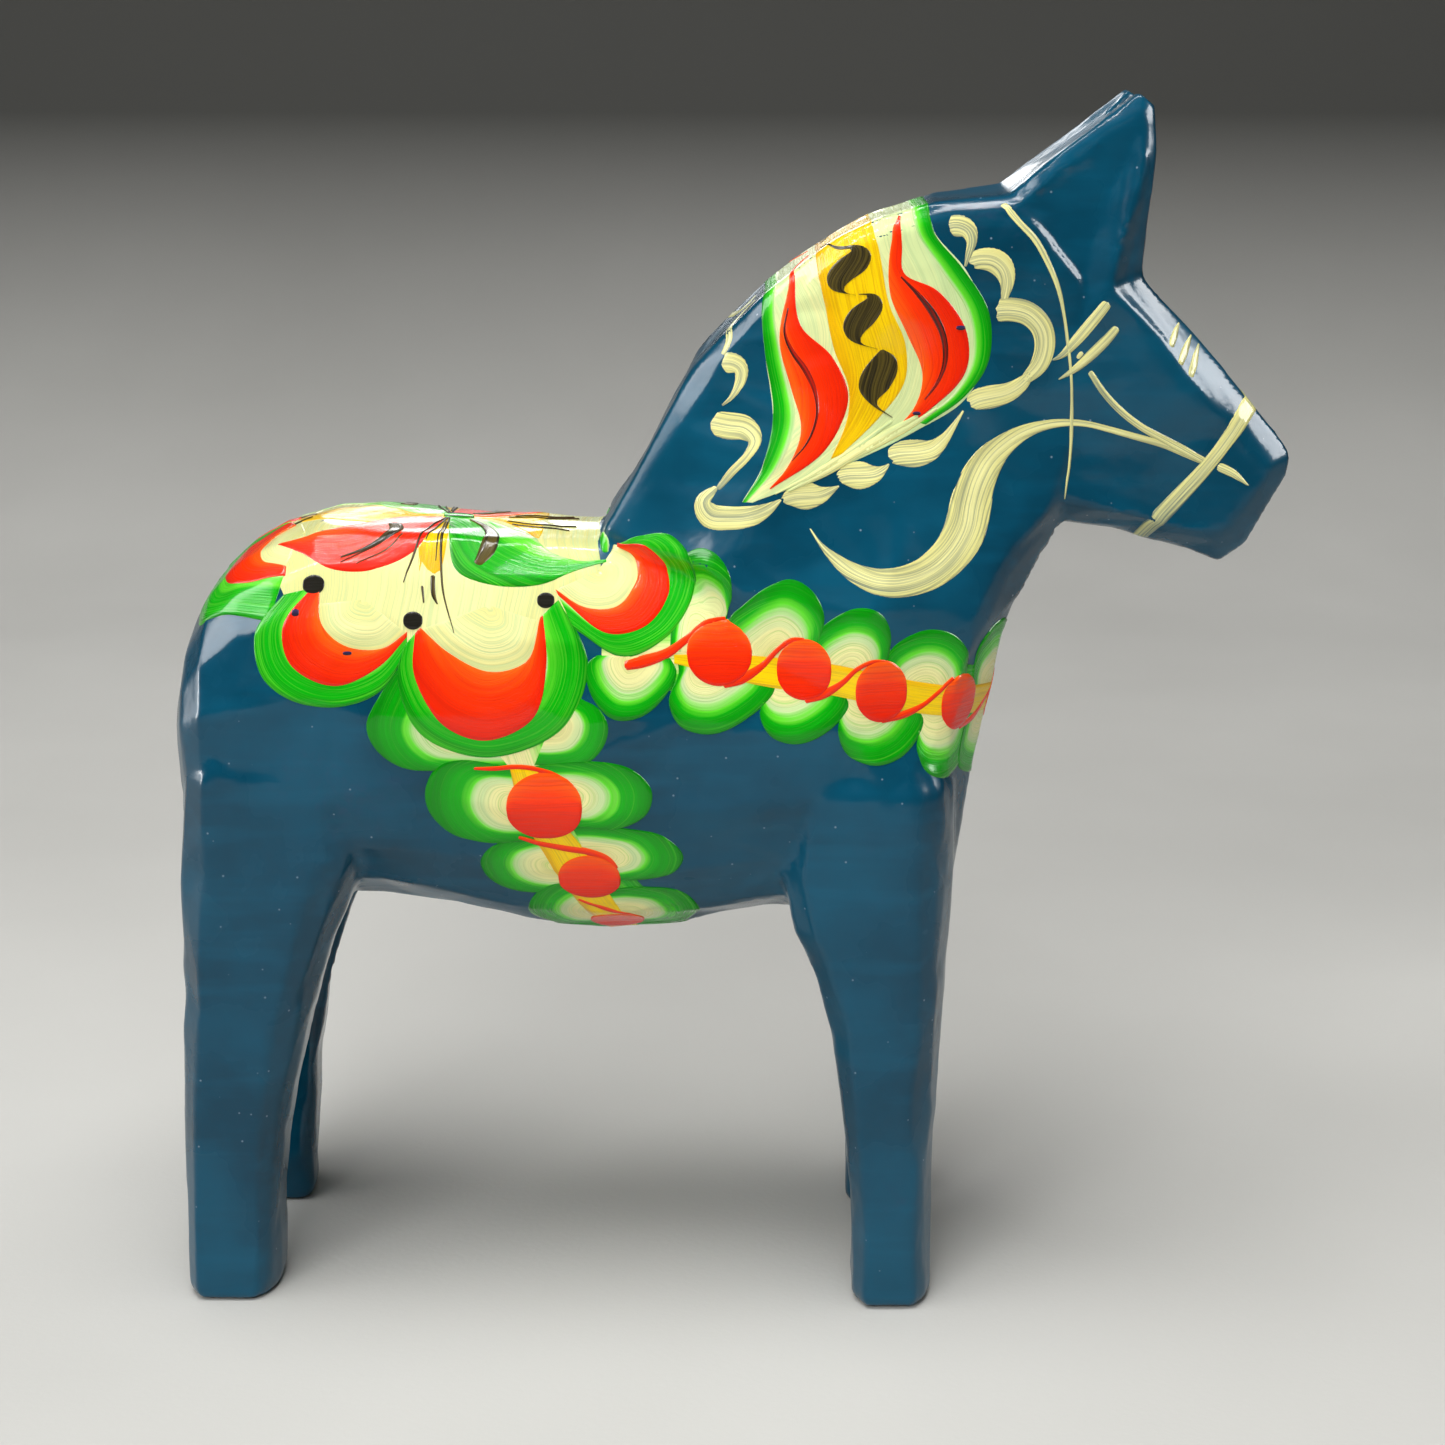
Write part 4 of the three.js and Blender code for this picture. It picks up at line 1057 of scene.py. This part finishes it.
panel = Painting("mane_panel")
mane_panel(panel)
panel.done()
both_sides("mane_flames", flames)
both_sides("neck_scrolls", scrolls)
both_sides("bridle_lines", bridle)
band = Painting("noseband")
noseband(band)
band.done()


# --- floor, light, camera


def stage_material():
    """Pale paper on the floor that darkens up the wall."""
    s = Shader("studio_paper")
    place = s.node("ShaderNodeTexCoord").outputs["Object"]
    height = s.node("ShaderNodeSeparateXYZ", {0: place}).outputs[2]
    tooth = s.noise(place, 900, detail=4)
    cloud = s.noise(place, 6, detail=3)
    pale = s.mix(s.remap(cloud, 0.3, 0.7), linear(196, 195, 190), linear(206, 205, 200))
    colour = s.mix(s.remap(height, 0.0, 0.16), pale, linear(74, 74, 71))
    relief = s.bump(tooth, 0.15, 0.0003)
    return s.finish(colour, 0.75, relief, relief, 0.0)


def studio_floor():
    """A sweep: a pale floor that curves up into a grey wall behind the horse."""
    half, front_y, bend_y, bend, wall = 5.0, -6.0, 0.5, 0.5, 3.0
    steps = 24
    profile = [(front_y, 0.0)]
    for k in range(steps + 1):
        angle = k / steps * math.pi / 2
        profile.append((bend_y + bend * math.sin(angle), bend - bend * math.cos(angle)))
    profile.append((bend_y + bend, wall))
    verts = [(x, y, z) for y, z in profile for x in (-half, half)]
    faces = [(2 * k, 2 * k + 1, 2 * k + 3, 2 * k + 2) for k in range(len(profile) - 1)]
    floor = mesh_object("studio_floor", np.array(verts) / MM, np.array(faces), [stage_material()])


def area_light(name, place, target, size, power, shine=True, fill=True):
    """A soft panel of light. Without shine it leaves no reflection in the varnish, and without fill it
    leaves nothing but one."""
    light = bpy.data.lights.new(name, "AREA")
    light.shape = "RECTANGLE"
    light.size, light.size_y = size
    light.energy = power
    obj = bpy.data.objects.new(name, light)
    obj.location = place
    obj.rotation_euler = (Vector(target) - Vector(place)).to_track_quat("-Z", "Y").to_euler()
    obj.visible_camera = False
    obj.visible_glossy = shine
    obj.visible_diffuse = fill
    bpy.context.scene.collection.objects.link(obj)


studio_floor()
SHINE, FILL = {"fill": False}, {"shine": False}
area_light("overhead_strip", (-0.05, 0.27, 0.95), (0, 0, 0.13), (1.0, 0.025), 4.2, **SHINE)
area_light("left_high", (-0.85, -0.1, 0.85), (0, 0, 0.15), (0.6, 0.6), 11, **SHINE)
area_light("left_wide", (-1.15, 0.1, 0.3), (0, 0, 0.1), (0.5, 0.7), 4.5, **SHINE)
area_light("right_high", (0.95, -0.12, 0.62), (0, 0, 0.15), (0.5, 0.5), 13, **SHINE)
area_light("left_low", (-1.0, 0.0, 0.12), (0, 0, 0.06), (0.05, 0.25), 1.5, **SHINE)
area_light("behind", (-0.12, 0.78, 0.336), (0.05, 0, 0.19), (0.22, 0.14), 0.6, **SHINE)
area_light("overhead_fill", (-0.1, -0.2, 1.15), (0, 0, 0.1), (0.8, 0.8), 13, **FILL)
area_light("camera_side", (-0.35, -1.1, 0.75), (0, 0, 0.1), (0.8, 0.5), 10, **FILL)
world = bpy.data.worlds.new("studio")
world.use_nodes = True
world.node_tree.nodes["Background"].inputs[0].default_value = (0.9, 0.92, 0.95, 1)
world.node_tree.nodes["Background"].inputs[1].default_value = 0.1
bpy.context.scene.world = world

bpy.context.scene.view_settings.view_transform = "Standard"

# Camera at the viewing angle: a short telephoto close to the horse, looking a little down.
camera = bpy.data.objects.new("camera", bpy.data.cameras.new("camera"))
camera.data.lens = 69.36
camera.data.sensor_width = 36.0
camera.data.clip_start = 0.01
camera.location = (0.00565, -0.458, 0.2154)
camera.rotation_euler = (math.pi / 2 - 0.25767, 0, 0.0145)
bpy.context.scene.collection.objects.link(camera)
bpy.context.scene.camera = camera
